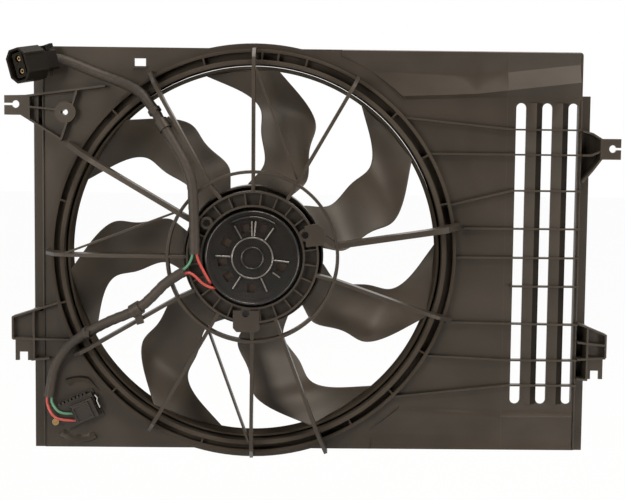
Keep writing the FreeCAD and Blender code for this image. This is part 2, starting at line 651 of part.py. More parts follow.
def upper_right_bracket():
    """Right hanger tab and its ribbed web on the flange."""
    x, z = RIGHT_HANGER
    rear = HANGER_FRONT + HANGER_THICK
    tab = plate(((400.0, 136.6), (423.8, 136.6), (423.8, 112.6), (400.0, 112.6)), HANGER_FRONT, rear)
    web = plate(((PANEL_RIGHT, 146.2), (FLANGE_RIGHT, 142.5), (403.0, 136.6), (403.0, 112.6),
                 (FLANGE_RIGHT, 99.0), (PANEL_RIGHT, 84.0)), FLANGE_FRONT - WALL, FLANGE_FRONT)
    edge = HANGER_FRONT + 1
    ribs = [
        wall(((PANEL_RIGHT, 145.1), (391.0, 142.2), (402.0, 135.5)), BRACKET_WALL, edge, FLANGE_FRONT),
        wall(((402.0, 113.7), (391.0, 99.0), (PANEL_RIGHT, 86.0)), BRACKET_WALL, edge, FLANGE_FRONT),
        wall(((PANEL_RIGHT, 117.2), (390.0, 117.2), (402.0, 122.5)), BRACKET_WALL, edge, FLANGE_FRONT),
        wall(((402.0, 135.5), (402.0, 113.7)), BRACKET_WALL, edge, FLANGE_FRONT),
    ]
    body = join([tab, web] + ribs)
    body = body.cut(block(300, PANEL_RIGHT, 0, 300, -60, 0))
    return body.cut(keyhole(x, z, HANGER_HOLE_R, 1, 20, HANGER_FRONT - 1, rear + 1))


def foot_leg(centre_x, top, bottom, front):
    """A foot tongue with a notch that drops over a peg."""
    half = FOOT_NOTCH_WIDTH / 2
    leg = block(centre_x - half - 4.6, centre_x + half + 4.6, bottom, top, front, front + FOOT_THICK)
    notch = block(centre_x - half, centre_x + half, bottom - 1, bottom + FOOT_NOTCH_DEPTH,
                  front - 1, front + FOOT_THICK + 1)
    return leg.cut(notch)


def lower_left_foot():
    """Left support foot: a ribbed shelf with a notched tongue."""
    front = HANGER_FRONT
    web = plate(((-280.5, -77.5), (-255.0, -68.5), (-255.0, -102.0), (-280.5, -102.0)),
                -26.0, -26.0 + WALL)
    leg = foot_leg(-267.5, -101.0, -128.0, front + 4)
    ribs = [
        wall(((-279.4, -102.5), (-279.4, -77.0), (-224.3, -59.2)), BRACKET_WALL, front, FLANGE_FRONT),
        wall(((-279.4, -102.4), (-207.1, -103.2)), BRACKET_WALL, front, FLANGE_FRONT),
        wall(((-255.0, -69.5), (-255.0, -127.0)), BRACKET_WALL, front, FLANGE_FRONT),
        wall(((-258.0, -127.0), (-237.0, -125.0)), BRACKET_WALL, front, FLANGE_FRONT),
    ]
    gusset = block(-260.0, -254.5, -127.0, -102.0, front + 4, front + 4 + FOOT_THICK)
    body = join([web, leg, gusset] + ribs)
    body = body.cut(block(PANEL_LEFT, 0, -200, 0, PANEL_FRONT, 0))
    body = body.cut(block(-300, FLANGE_LEFT, -200, 0, -22.0, 0))
    return body.cut(disc(barrel_outer_r(), -60, 0)).cut(disc(BULGE_R, PANEL_FRONT, 0))


def lower_right_foot():
    """Right support foot: a pocketed shelf with a notched tongue."""
    front = HANGER_FRONT
    web = plate(((FLANGE_RIGHT - 1, -84.5), (413.5, -92.0), (413.5, -119.5), (FLANGE_RIGHT - 1, -121.0)),
                -26.0, -26.0 + WALL)
    leg = foot_leg(400.9, -119.0, -145.0, front + 4)
    ribs = [
        wall(((PANEL_RIGHT, -79.5), (385.1, -81.3), (412.6, -92.6), (412.6, -119.5)), BRACKET_WALL,
             front, FLANGE_FRONT),
        wall(((PANEL_RIGHT, -121.7), (412.6, -119.8)), BRACKET_WALL, front, FLANGE_FRONT),
        wall(((PANEL_RIGHT, -101.6), (412.6, -105.0)), BRACKET_WALL, front, FLANGE_FRONT),
        wall(((391.0, -84.0), (391.0, -145.6)), BRACKET_WALL, front, FLANGE_FRONT),
        wall(((PANEL_RIGHT, -145.0), (392.0, -145.6)), BRACKET_WALL, front, FLANGE_FRONT),
    ]
    body = join([web, leg] + ribs)
    body = body.cut(block(300, PANEL_RIGHT, -200, 0, -60, 0))
    return body.cut(block(FLANGE_RIGHT, 450, -200, 0, -22.0, 0))


def fan_ring():
    """Band that joins the blade tips, with a narrow flange at its rear."""
    outer_r = BARREL_BORE_R - RUNNING_GAP
    inner_r = outer_r - FAN_RING_WALL
    ring = collar(outer_r, inner_r, FAN_RING_FRONT, FAN_RING_REAR)
    return ring.fuse(collar(outer_r + FAN_FLANGE_REACH, inner_r, FAN_RING_REAR - FAN_FLANGE_THICK,
                            FAN_RING_REAR)).removeSplitter()


def hub_skirt():
    """Round wall of the hub, which the blades spring from."""
    return collar(HUB_R, HUB_R - HUB_WALL, HUB_FRONT, HUB_DISC_FRONT)


def fan_hub():
    """Disc and boss that carry the skirt, with ribs behind the disc."""
    disc_rear = HUB_DISC_FRONT + HUB_DISC_THICK
    shell = disc(HUB_R, HUB_DISC_FRONT, disc_rear)
    boss = disc(HUB_BOSS_R, HUB_BOSS_FRONT, HUB_BOSS_REAR)
    rib = block(HUB_BOSS_R - 1, HUB_R - 6, -HUB_RIB_WIDTH / 2, HUB_RIB_WIDTH / 2, disc_rear - 0.5,
                disc_rear + 4)
    hub = join([shell, boss] + around(rib, HUB_RIB_COUNT))
    rear_edge = [e for e in hub.Edges if abs(e.BoundBox.YMin - disc_rear) < 0.01
                 and abs(e.BoundBox.YMax - disc_rear) < 0.01 and abs(e.BoundBox.XMax - HUB_R) < 0.01]
    hub = hub.makeFillet(HUB_EDGE_R, rear_edge)
    return hub.cut(disc(INSERT_R + FIT, HUB_BOSS_FRONT - 1, HUB_BOSS_REAR + 1))


def blade_surface(side):
    """One skin of a blade, as a smooth surface over its stations."""
    chord_steps = 8
    rows = []
    for radius, low, high, low_y, high_y, thick in BLADE_STATIONS:
        arc = radius * math.radians(high - low)
        rise = high_y - low_y
        length = math.hypot(arc, rise)
        row = []
        for i in range(chord_steps + 1):
            share = i / chord_steps
            bow = 4 * share * (1 - share)
            half = (BLADE_EDGE_THICK + (thick - BLADE_EDGE_THICK) * math.sqrt(bow)) / 2 * side
            turn = math.radians(low + (high - low) * share) - half * rise / length / radius
            y = low_y + rise * share + BLADE_CAMBER * bow + half * arc / length
            row.append(V(radius * math.cos(turn), y, radius * math.sin(turn)))
        rows.append(row)
    surface = Part.BSplineSurface()
    surface.interpolate(rows)
    return surface


def blade_blank():
    """A closed blade that runs past the hub and the ring."""
    upper = blade_surface(1)
    lower = blade_surface(-1)
    faces = [upper.toShape(), lower.toShape()]
    u0, u1, v0, v1 = upper.bounds()
    for curve_of in (lambda s: s.uIso(u0), lambda s: s.uIso(u1), lambda s: s.vIso(v0), lambda s: s.vIso(v1)):
        faces.append(Part.makeRuledSurface(curve_of(upper).toShape(), curve_of(lower).toShape()))
    shell = Part.makeShell(faces)
    shell.sewShape()
    blank = Part.Solid(Part.Shell(shell.Faces))
    if blank.Volume < 0:
        blank.reverse()
    return blank


def fan_blade():
    """One blade cut to meet the hub and the ring face to face."""
    tip_r = BARREL_BORE_R - RUNNING_GAP - FAN_RING_WALL
    return blade_blank().common(collar(tip_r, HUB_R, -80, 0))


def hub_insert():
    """Metal sleeve in the hub, on the shaft."""
    return collar(INSERT_R, SHAFT_R + FIT, HUB_BOSS_FRONT, HUB_BOSS_REAR)


def fan_washer():
    """Washer behind the hub."""
    return collar(WASHER_R, SHAFT_R + SEAT_GAP, HUB_BOSS_REAR, HUB_BOSS_REAR + WASHER_THICK)


def hexagon(flats, front, rear):
    """A six-sided prism on the fan axis."""
    corner_r = flats / math.sqrt(3)
    corners = [(corner_r * math.cos(math.radians(60 * i)), corner_r * math.sin(math.radians(60 * i)))
               for i in range(6)]
    return plate(corners, front, rear)


def fan_nut():
    """Nut that clamps the hub on the shaft."""
    front = HUB_BOSS_REAR + WASHER_THICK
    nut = hexagon(NUT_FLATS, front, front + NUT_THICK)
    return nut.cut(disc(SHAFT_R + FIT, front - 1, front + NUT_THICK + 1))


def motor_shaft():
    """Steel shaft from the rear bearing to the nut, with a shoulder at the hub."""
    return disc(SHAFT_R, SHAFT_FRONT, SHAFT_REAR)


def motor_can():
    """Drawn steel case with three ears and a nose for the front bearing."""
    inner_r = CAP_R - CAN_WALL
    bearing_front = NOSE_REAR - WALL - BEARING_WIDTH
    profile = (
        (CAP_R, CAP_REAR), (CAP_R, CAN_REAR), (NOSE_R, CAN_REAR), (NOSE_R, NOSE_REAR),
        (SHAFT_R + 2, NOSE_REAR), (SHAFT_R + 2, NOSE_REAR - WALL), (BEARING_R + FIT, NOSE_REAR - WALL),
        (BEARING_R + FIT, bearing_front), (BEARING_R + 4, bearing_front),
        (BEARING_R + 4, CAN_REAR - CAN_WALL), (inner_r, CAN_REAR - CAN_WALL), (inner_r, CAP_REAR),
    )
    body = spun(profile)
    ear_front = SUPPORT_FRONT + RING_DEPTH
    ear_rear = ear_front + EAR_THICK
    ears = [collar(CAP_R + 4.5, CAP_R - 1, ear_front, ear_rear)]
    for angle in SCREW_ANGLES:
        centre = polar(SCREW_CIRCLE_R, angle)
        reach = block(CAP_R - 1, SCREW_CIRCLE_R, -EAR_R, EAR_R, ear_front, ear_rear)
        ears.append(turned(reach, angle))
        ears.append(disc(EAR_R, ear_front, ear_rear, centre.x, centre.z))
    body = join([body] + ears)
    for angle in SCREW_ANGLES:
        centre = polar(SCREW_CIRCLE_R, angle)
        body = body.cut(disc(SCREW_R + FIT, ear_front - 1, ear_rear + 1, centre.x, centre.z))
    return body


def motor_end_cap():
    """Black cap over the brushes, with ribs, windows and a bearing boss."""
    plate_rear = CAP_FRONT + CAP_THICK
    bearing_rear = CAP_BOSS_FRONT + 2 + BEARING_WIDTH
    cap = disc(CAP_R, CAP_FRONT + 1, plate_rear + 1)
    rim = collar(CAP_R, CAP_R - 5, CAP_FRONT, CAP_REAR)
    boss = disc(CAP_BOSS_R, CAP_BOSS_FRONT + 1.5, plate_rear + 1)
    collar_out = collar(CAP_BOSS_R, CAP_BOSS_R - 2, CAP_BOSS_FRONT + 0.6, plate_rear)
    nose = collar(13.5, 10.5, CAP_BOSS_FRONT, plate_rear)
    seat = disc(BEARING_R + 3, plate_rear, bearing_rear)
    cap = join([cap, rim, boss, collar_out, nose, seat])
    cap = cap.cut(disc(BEARING_R + FIT, CAP_BOSS_FRONT + 2, bearing_rear + 1))
    window = block(29.0, 39.0, -4.6, 4.6, CAP_FRONT - 1, CAP_REAR + 1)
    cap = cap.cut(Part.makeCompound([turned(window, angle) for angle in CAP_WINDOW_ANGLES]))
    rib_front = CAP_FRONT - CAP_RIB_RISE
    half = CAP_RIB_WIDTH / 2
    rib = block(CAP_BOSS_R - 0.5, 42.0, -half, half, rib_front, plate_rear)
    short_rib = block(27.0, 39.0, -half, half, rib_front, plate_rear)
    ribs = [turned(rib, angle) for angle in CAP_RIB_ANGLES] + [turned(short_rib, CAP_SHORT_RIB_ANGLE)]
    low, high = (polar(2 * CAP_R, angle) for angle in CAP_ARC_SPAN)
    wedge = plate(((0, 0), (low.x, low.z), (high.x, high.z)), rib_front - 1, plate_rear)
    ribs.append(collar(CAP_ARC_R, CAP_ARC_R - 1.6, rib_front + 0.8, plate_rear).common(wedge))
    return join([cap] + ribs)


def bearing(front):
    """A ball bearing as its closed outline, bored for the shaft."""
    return collar(BEARING_R, SHAFT_R + RUNNING_FIT, front, front + BEARING_WIDTH)


def field_magnets():
    """Curved magnets inside the can."""
    outer_r = CAP_R - CAN_WALL - SEAT_GAP
    front = CORE_FRONT - 3
    rear = CORE_REAR + 3
    ring = collar(outer_r, outer_r - MAGNET_THICK, front, rear)
    half = 0.5 * 360 / MAGNET_COUNT - 7
    wedge = plate(((0, 0), (120 * math.cos(math.radians(half)), -120 * math.sin(math.radians(half))),
                   (120 * math.cos(math.radians(half)), 120 * math.sin(math.radians(half)))), front, rear)
    return group(turned(ring.common(wedge), i * 360 / MAGNET_COUNT) for i in range(MAGNET_COUNT))


def armature_core():
    """Slotted stack on the shaft."""
    core = disc(CORE_R, CORE_FRONT, CORE_REAR)
    slot = block(18.0, CORE_R - 4, -3.2, 3.2, CORE_FRONT - 1, CORE_REAR + 1)
    mouth = block(CORE_R - 5, CORE_R + 1, -1.2, 1.2, CORE_FRONT - 1, CORE_REAR + 1)
    core = core.cut(Part.makeCompound(around(slot.fuse(mouth), CORE_SLOTS, 15)))
    return core.cut(disc(SHAFT_R, CORE_FRONT - 1, CORE_REAR + 1))


def armature_windings():
    """End turns of the copper winding, one ring at each end of the core."""
    def end_turns(front, rear):
        ring = collar(34.0, 12.0, front, rear)
        edges = [e for e in ring.Edges if abs(e.Length - 2 * math.pi * 34.0) < 1]
        return ring.makeFillet(2.0, edges)
    return group([end_turns(CORE_FRONT - 6.5, CORE_FRONT), end_turns(CORE_REAR, CORE_REAR + 6.0)])


def commutator():
    """Copper commutator on the shaft."""
    body = collar(COMMUTATOR_R, SHAFT_R, COMMUTATOR_FRONT, COMMUTATOR_REAR)
    groove = block(COMMUTATOR_R - 0.8, COMMUTATOR_R + 1, -0.3, 0.3, COMMUTATOR_FRONT - 1, COMMUTATOR_REAR - 2)
    return body.cut(Part.makeCompound(around(groove, CORE_SLOTS)))


def brush_card():
    """Insulating card that carries the brushes."""
    outer_r = CAP_R - CAN_WALL - SEAT_GAP
    card = collar(outer_r, CARD_BORE_R, CARD_FRONT, CARD_FRONT + CARD_THICK)
    rear = CARD_FRONT + CARD_THICK
    start = CARD_BORE_R + 1
    stop = COMMUTATOR_R + RUNNING_FIT + BRUSH_LENGTH
    guide = block(start, stop, BRUSH_WIDTH / 2 + SEAT_GAP, BRUSH_WIDTH / 2 + SEAT_GAP + 1.5,
                  rear - 0.5, rear + BRUSH_DEPTH)
    guides = guide.fuse(guide.mirror(V(0, 0, 0), V(0, 0, 1)))
    return join([card] + around(guides, BRUSH_COUNT, 45))


def brushes():
    """Carbon brushes on the commutator."""
    start = COMMUTATOR_R + RUNNING_FIT
    rear = CARD_FRONT + CARD_THICK
    brush = block(start, start + BRUSH_LENGTH, -BRUSH_WIDTH / 2, BRUSH_WIDTH / 2, rear, rear + BRUSH_DEPTH)
    brush = brush.cut(disc(start, rear - 1, rear + BRUSH_DEPTH + 1))
    return group(around(brush, BRUSH_COUNT, 45))


def brush_springs():
    """Rolled strip springs behind the brushes."""
    rear = CARD_FRONT + CARD_THICK
    centre = COMMUTATOR_R + RUNNING_FIT + BRUSH_LENGTH + SEAT_GAP + 3.6
    roll = collar(3.6, 1.4, rear, rear + BRUSH_DEPTH - 1, centre)
    return group(around(roll, BRUSH_COUNT, 45))


def motor_screws():
    """Three screws that hold the motor to its ring."""
    screws = []
    for angle in SCREW_ANGLES:
        centre = polar(SCREW_CIRCLE_R, angle)
        head_rear = SCREW_HEAD_FRONT + SCREW_HEAD_DEPTH
        head = disc(SCREW_HEAD_R, SCREW_HEAD_FRONT, head_rear, centre.x, centre.z)
        head = head.cut(disc(2.0, SCREW_HEAD_FRONT - 1, SCREW_HEAD_FRONT + 1.8, centre.x, centre.z))
        shank = disc(SCREW_R, head_rear, SUPPORT_FRONT + RING_DEPTH + EAR_THICK + 1, centre.x, centre.z)
        screws.append(head.fuse(shank))
    return group(screws)


def placed(shape, centre, tilt, yaw=0.0):
    """A shape turned from its own axes into its place on the shroud."""
    copy = shape.copy()
    copy.rotate(V(0, 0, 0), V(0, 0, 1), yaw)
    copy.rotate(V(0, 0, 0), AXIS, -tilt)
    copy.translate(V(*centre))
    return copy


def own_box(x0, x1, half_depth, z0, z1):
    """A box in a piece's own axes, centred on its depth."""
    return Part.makeBox(x1 - x0, 2 * half_depth, z1 - z0, V(x0, -half_depth, z0))


def path_wire(route):
    """Straight runs joined by tangent arcs as large as the runs allow."""
    points = [V(*place) for place in route]
    edges = []
    start = points[0]
    smallest = float("inf")
    for before, corner, after in zip(points, points[1:], points[2:]):
        back = before - corner
        ahead = after - corner
        reach = 0.45 * min(back.Length, ahead.Length)
        back.normalize()
        ahead.normalize()
        half_turn = (math.pi - back.getAngle(ahead)) / 2
        radius = reach / math.tan(half_turn)
        smallest = min(smallest, radius)
        inward = (back + ahead).normalize()
        middle = corner + inward * (radius / math.cos(half_turn) - radius)
        enter = corner + back * reach
        leave = corner + ahead * reach
        edges.append(Part.LineSegment(start, enter).toShape())
        edges.append(Part.Arc(enter, middle, leave).toShape())
        start = leave
    edges.append(Part.LineSegment(start, points[-1]).toShape())
    return Part.Wire(edges), smallest


def tube(name, route, radius):
    """A round cord along a route; its tightest radius and its volume error are printed."""
    wire, smallest = path_wire(route)
    start = V(*route[0])
    heading = V(*route[1]) - start
    section = Part.Wire(Part.Circle(start, heading, radius).toShape())
    cord = wire.makePipeShell([section], True, True)
    expected = math.pi * radius ** 2 * wire.Length
    print("%s: length %.0f, tightest radius %.0f, volume ratio %.4f"
          % (name, wire.Length, smallest, cord.Volume / expected))
    return cord


def band(centre, heading, outer_r, inner_r, length):
    """A ring round a cord at one place, square to the cord."""
    start = centre - heading * (length / 2)
    outer = Part.makeCylinder(outer_r, length, start, heading)
    return outer.cut(Part.makeCylinder(inner_r, length + 2, start - heading, heading))


def on_connector(x):
    """A point on the connector's own long axis, in the shroud's frame."""
    tilt = math.radians(CONNECTOR_TILT)
    yaw = math.radians(CONNECTOR_YAW)
    centre_x, centre_y, centre_z = CONNECTOR_CENTRE
    flat = x * math.cos(yaw)
    return (centre_x + flat * math.cos(tilt), centre_y + x * math.sin(yaw), centre_z + flat * math.sin(tilt))


def upper_loom_route():
    """The upper loom's route: straight out of the connector, then by hand."""
    return (on_connector(TAIL_REAR - 6), on_connector(TAIL_REAR + 7)) + UPPER_LOOM_ROUTE


def wire_exit(end, before, across, along):
    """A place beside a loom's end, in its end face or further along its heading."""
    heading = (V(*end) - V(*before)).normalize()
    side = heading.cross(AXIS).normalize()
    place = V(*end) + side * across + heading * along
    return (place.x, place.y, place.z)


def leave_loom(end, before, across):
    """The first two points of a wire that leaves a loom straight."""
    return (wire_exit(end, before, across, 0), wire_exit(end, before, across, WIRE_STRAIGHT))


def dive(angle):
    """The last two points of a wire that goes down beside the end cap."""
    middle_r = (CAP_R + RING_INNER_R) / 2
    turn = math.radians(angle)
    x = middle_r * math.cos(turn)
    z = middle_r * math.sin(turn)
    return ((x, WIRE_DIVE_FRONT, z), (x, GROMMET_FRONT, z))


def wire_routes():
    """Routes of the five single wires."""
    top = (UPPER_LOOM_ROUTE[-1], UPPER_LOOM_ROUTE[-2])
    start = (LOWER_LOOM_ROUTE[0], LOWER_LOOM_ROUTE[1])
    low = (LOWER_LOOM_ROUTE[-1], LOWER_LOOM_ROUTE[-2])
    other_end = leave_loom(*start, WIRE_OFFSET)
    return {
        "green_link_wire": leave_loom(*top, -WIRE_OFFSET) + tuple(reversed(other_end)),
        "red_supply_wire": leave_loom(*top, WIRE_OFFSET) + (RED_SUPPLY_TURN,) + dive(RED_SUPPLY_DIVE),
        "red_return_wire": leave_loom(*start, -WIRE_OFFSET) + RED_RETURN_TURNS + dive(RED_RETURN_DIVE),
        "resistor_red_wire": leave_loom(*low, -WIRE_OFFSET) + RESISTOR_RED_TURNS,
        "resistor_green_wire": leave_loom(*low, WIRE_OFFSET) + RESISTOR_GREEN_TURNS,
    }


def facet(sections):
    """A long ridge on the panel, lofted through triangular sections."""
    wires = []
    for x, high, crest, low, rise in sections:
        corners = [V(x, PANEL_FRONT, high), V(x, PANEL_FRONT - rise, crest), V(x, PANEL_FRONT, low)]
        wires.append(Part.makePolygon(corners + corners[:1]))
    ridge = Part.makeLoft(wires, True, True)
    return ridge.cut(disc(BULGE_R + FACET_GAP, -60, 0))


def run_middle(route, index):
    """The middle of one run of a route, and the direction of that run."""
    start = V(*route[index])
    end = V(*route[index + 1])
    return (start + end) * 0.5, (end - start).normalize()


def loom_clip(route, index, foot, fins):
    """A clip round a loom, with an arm that is moulded to the side of a fin."""
    centre, heading = run_middle(route, index)
    clip = band(centre, heading, LOOM_R + SEAT_GAP + CLIP_WALL, LOOM_R + SEAT_GAP, CLIP_LENGTH)
    arm = wall(((centre.x, centre.z), foot), 8.0, centre.y - 3, centre.y + 3)
    space = Part.makeCylinder(LOOM_R + SEAT_GAP, 60, centre - heading * 30, heading)
    body = clip.fuse(arm.cut(space)).cut(fins)
    return max(body.Solids, key=lambda solid: solid.Volume)


def cable_tie(route, index):
    """A plastic tie round a loom, with its square head."""
    centre, heading = run_middle(route, index)
    tie = band(centre, heading, LOOM_R + SEAT_GAP + TIE_THICK, LOOM_R + SEAT_GAP, TIE_WIDTH)
    front = centre.y - LOOM_R - 4.2
    head = block(centre.x - 3, centre.x + 3, centre.z - 3, centre.z + 3, front, centre.y)
    space = Part.makeCylinder(LOOM_R + SEAT_GAP, 60, centre - heading * 30, heading)
    return tie.fuse(head.cut(space))


def cable_ties():
    """The ties on the two looms."""
    return group([cable_tie(upper_loom_route(), UPPER_TIE_RUN), cable_tie(LOWER_LOOM_ROUTE, LOWER_TIE_RUN)])


def connector_envelope():
    """Outer form of the connector's shell and tail."""
    shell = own_box(SHELL_FRONT, SHELL_REAR, SHELL_HALF_DEPTH, SHELL_BOTTOM, SHELL_TOP)
    long_edges = [e for e in shell.Edges if abs(e.Length - (SHELL_REAR - SHELL_FRONT)) < 0.01]
    shell = shell.makeChamfer(SHELL_CHAMFER, long_edges)
    tail = own_box(SHELL_REAR - 1, TAIL_REAR, TAIL_HALF_DEPTH, TAIL_BOTTOM, TAIL_TOP)
    long_edges = [e for e in tail.Edges if abs(e.Length - (TAIL_REAR - SHELL_REAR + 1)) < 0.01]
    tail = tail.makeFillet(3.0, long_edges)
    return shell.fuse(tail)


def connector_housing():
    """Harness plug housing with its mouth, sockets and latch ears."""
    body = connector_envelope()
    mouth = own_box(SHELL_FRONT - 1, SHELL_FRONT + MOUTH_DEPTH, SHELL_HALF_DEPTH - SHELL_WALL,
                    SHELL_BOTTOM + SHELL_WALL, SHELL_TOP - SHELL_WALL)
    long_edges = [e for e in mouth.Edges if abs(e.Length - (MOUTH_DEPTH + 1)) < 0.01]
    body = body.cut(mouth.makeChamfer(MOUTH_CHAMFER, long_edges))
    tower = own_box(SHELL_FRONT + TOWER_RECESS, SHELL_FRONT + MOUTH_DEPTH + 1, TOWER_HALF_DEPTH, TOWER_BOTTOM,
                    TOWER_TOP)
    long_edges = [e for e in tower.Edges if abs(e.Length - (MOUTH_DEPTH + 1 - TOWER_RECESS)) < 0.01]
    body = body.fuse(tower.makeFillet(3.0, long_edges))
    for z in SOCKET_HEIGHTS:
        body = body.cut(Part.makeCylinder(SOCKET_R, MOUTH_DEPTH + 6, V(SHELL_FRONT, 0, z), V(1, 0, 0)))
    body = body.cut(Part.makeCylinder(LOOM_R + SEAT_GAP, 12, V(TAIL_REAR - 8, 0, 0), V(1, 0, 0)))
    pivot_x, pivot_z = LATCH_PIVOT
    for side in (-1, 1):
        middle = side * (LATCH_HALF_DEPTH + 1.6)
        ear = Part.makeBox(6.0, 2.2, LATCH_TOP - TAIL_TOP + 1, V(pivot_x - 3, middle - 1.1, TAIL_TOP - 1))
        hole = Part.makeCylinder(LATCH_PIN_R + RUNNING_FIT, 4, V(pivot_x, middle - 2, pivot_z), AXIS)
        body = body.fuse(ear).cut(hole)
    for z in (SHELL_BOTTOM + SHELL_CHAMFER, SHELL_TOP - SHELL_CHAMFER - 2.0):
        rail = own_box(SHELL_FRONT + 2, SHELL_REAR - 4, SHELL_HALF_DEPTH + 1.2, z, z + 2.0)
        body = body.fuse(rail.cut(connector_envelope()))
    return body.removeSplitter()


def connector_latch():
    """Rocking lock lever with its pivot pin."""
    pivot_x, pivot_z = LATCH_PIVOT
    lever = own_box(LATCH_FRONT, LATCH_REAR, LATCH_HALF_DEPTH, LATCH_BOTTOM, LATCH_TOP)
    window = own_box(LATCH_FRONT + 2.5, pivot_x - 3, LATCH_HALF_DEPTH - 2.5, 0, 30)
    pad = own_box(LATCH_REAR - 5, LATCH_REAR, LATCH_HALF_DEPTH, LATCH_TOP - 1, LATCH_TOP + 1.6)
    pin = Part.makeCylinder(LATCH_PIN_R, 2 * (LATCH_HALF_DEPTH + 2.4), V(pivot_x, -LATCH_HALF_DEPTH - 2.4, pivot_z),
                            AXIS)
    return join([lever.cut(window), pad, pin])


def connector_terminals():
    """Brass contacts inside the two sockets."""
    contacts = []
    for z in SOCKET_HEIGHTS:
        sleeve = Part.makeCylinder(TERMINAL_WIDTH / 2 + 1.2, 12, V(SHELL_FRONT + 5, 0, z), V(1, 0, 0))
        contacts.append(sleeve.cut(Part.makeCylinder(TERMINAL_WIDTH / 2, 13, V(SHELL_FRONT + 4, 0, z), V(1, 0, 0))))
    return group(contacts)


def connector_seal():
    """Rubber seal round the loom at the connector's tail."""
    start = V(TAIL_REAR, 0, 0)
    sleeve = Part.makeCylinder(SEAL_R, SEAL_LENGTH, start, V(1, 0, 0))
    return sleeve.cut(Part.makeCylinder(LOOM_R + SEAT_GAP, 5, start - V(1, 0, 0), V(1, 0, 0)))


def connector_carrier():
    """Moulded foot between the panel and the connector."""
    foot = block(-243.0, -233.0, 203.0, 219.0, CONNECTOR_CENTRE[1] + TAIL_HALF_DEPTH, PANEL_FRONT)
    way_out = Part.makeCylinder(SEAL_R + SEAT_GAP, 20, V(TAIL_REAR, 0, 0), V(1, 0, 0))
    envelope = connector_envelope().fuse(way_out)
    envelope = placed(envelope, CONNECTOR_CENTRE, CONNECTOR_TILT, CONNECTOR_YAW)
    parts = foot.cut(envelope).Solids
    return max(parts, key=lambda solid: solid.BoundBox.YMax)


def on_resistor(shape):
    """A piece in the resistor's own axes, turned into place."""
    x, z = RESISTOR_CENTRE
    return placed(shape, (x, 0, z), RESISTOR_TILT)


def resistor_base():
    """Resistor carrier with its screw ear, comb edge and raised seat."""
    half = RESISTOR_LENGTH / 2
    tall = RESISTOR_HEIGHT / 2
    base_front = PANEL_FRONT - RESISTOR_BASE
    base = block(-half, half, -tall, tall, base_front, PANEL_FRONT)
    seat = block(-half + 2, half - 2, -tall + 3, tall - 3, RESISTOR_STEP_FRONT, base_front)
    comb = [block(-half + 4 + 4.6 * i, -half + 6.6 + 4.6 * i, tall - 3.5, tall - 0.5, RESISTOR_STEP_FRONT - 1,
                  base_front) for i in range(8)]
    body = on_resistor(join([base, seat] + comb))
    x, z = RESISTOR_SCREW
    ear = wall(((x, z), (x + 14, z + 5)), 11.0, base_front, PANEL_FRONT)
    ear = ear.fuse(disc(5.5, base_front, PANEL_FRONT, x, z))
    body = body.fuse(ear).removeSplitter()
    return body.cut(disc(1.8, base_front - 1, PANEL_FRONT + 1, x, z))


def resistor_plug():
    """Wire plug seated on the resistor, with its L-shaped edge."""
    half = RESISTOR_LENGTH / 2
    tall = RESISTOR_HEIGHT / 2
    low = block(-7.0, half - 3, -tall + 4, tall - 8, PLUG_FRONT + 3, RESISTOR_STEP_FRONT)
    rim = block(-5.0, half - 8, -tall + 5, tall - 10, PLUG_FRONT, PLUG_FRONT + 3.5)
    rim = rim.cut(block(-3.0, half - 10, -tall + 7, tall - 12, PLUG_FRONT - 1, PLUG_FRONT + 2))
    return on_resistor(join([low, rim]))


def resistor_clip():
    """Spring steel clip at the resistor's side."""
    half = RESISTOR_LENGTH / 2
    strip = wall(((half + 0.8, -6.0), (half + 0.8, 3.0), (half + 2.6, 6.0), (half + 1.2, 10.0)), 1.2,
                 PANEL_FRONT - 12, PANEL_FRONT)
    return on_resistor(strip)


def resistor_core():
    """Ceramic resistor behind the panel, in the air stream."""
    length, height = RESISTOR_CORE
    core = block(-length / 2, length / 2, -height / 2, height / 2, PANEL_FRONT, PANEL_FRONT + 15)
    fins = [block(-length / 2 + 3 + 5.0 * i, -length / 2 + 5 + 5.0 * i, -height / 2 - 0.8, height / 2 + 0.8,
                  PANEL_FRONT + 5, PANEL_FRONT + 14) for i in range(6)]
    return on_resistor(join([core] + fins))


def resistor_hole():
    """Panel opening that the resistor core passes through."""
    length, height = RESISTOR_CORE
    half = length / 2 + RESISTOR_HOLE_GAP
    tall = height / 2 + RESISTOR_HOLE_GAP + 0.8
    return on_resistor(block(-half, half, -tall, tall, PANEL_FRONT - 1, PANEL_FRONT + WALL + 1))


def resistor_dish():
    """Ridges on the panel above and below the resistor, sloped towards it."""
    crest = PANEL_FRONT - DISH_RISE
    x, z = RESISTOR_CENTRE
    ring = spun(((DISH_R - DISH_SLOPE, PANEL_FRONT + 0.5), (DISH_R - DISH_SLOPE, PANEL_FRONT), (DISH_R, crest),
                 (DISH_R + DISH_EDGE, PANEL_FRONT), (DISH_R + DISH_EDGE, PANEL_FRONT + 0.5)))
    arcs = []
    for start, stop in DISH_ARCS:
        corners = [(0, 0)] + [(point.x, point.z) for point in (polar(2 * DISH_R, start), polar(2 * DISH_R, stop))]
        arcs.append(ring.common(plate(corners, crest - 1, PANEL_FRONT + 1)))
    ridges = Part.makeCompound(arcs)
    ridges.translate(V(x, 0, z))
    return ridges.cut(disc(BULGE_R + DISH_EDGE, -60, 0)).Solids


def resistor_screw():
    """Brass screw through the resistor's ear."""
    x, z = RESISTOR_SCREW
    base_front = PANEL_FRONT - RESISTOR_BASE
    head = disc(RESISTOR_SCREW_R, base_front - 2.6, base_front, x, z)
    slot = block(x - 5, x + 5, z - 0.5, z + 0.5, base_front - 3, base_front - 1.6)
    shank = disc(1.7, base_front, PANEL_FRONT + WALL + 5, x, z)
    return head.cut(slot).fuse(shank)


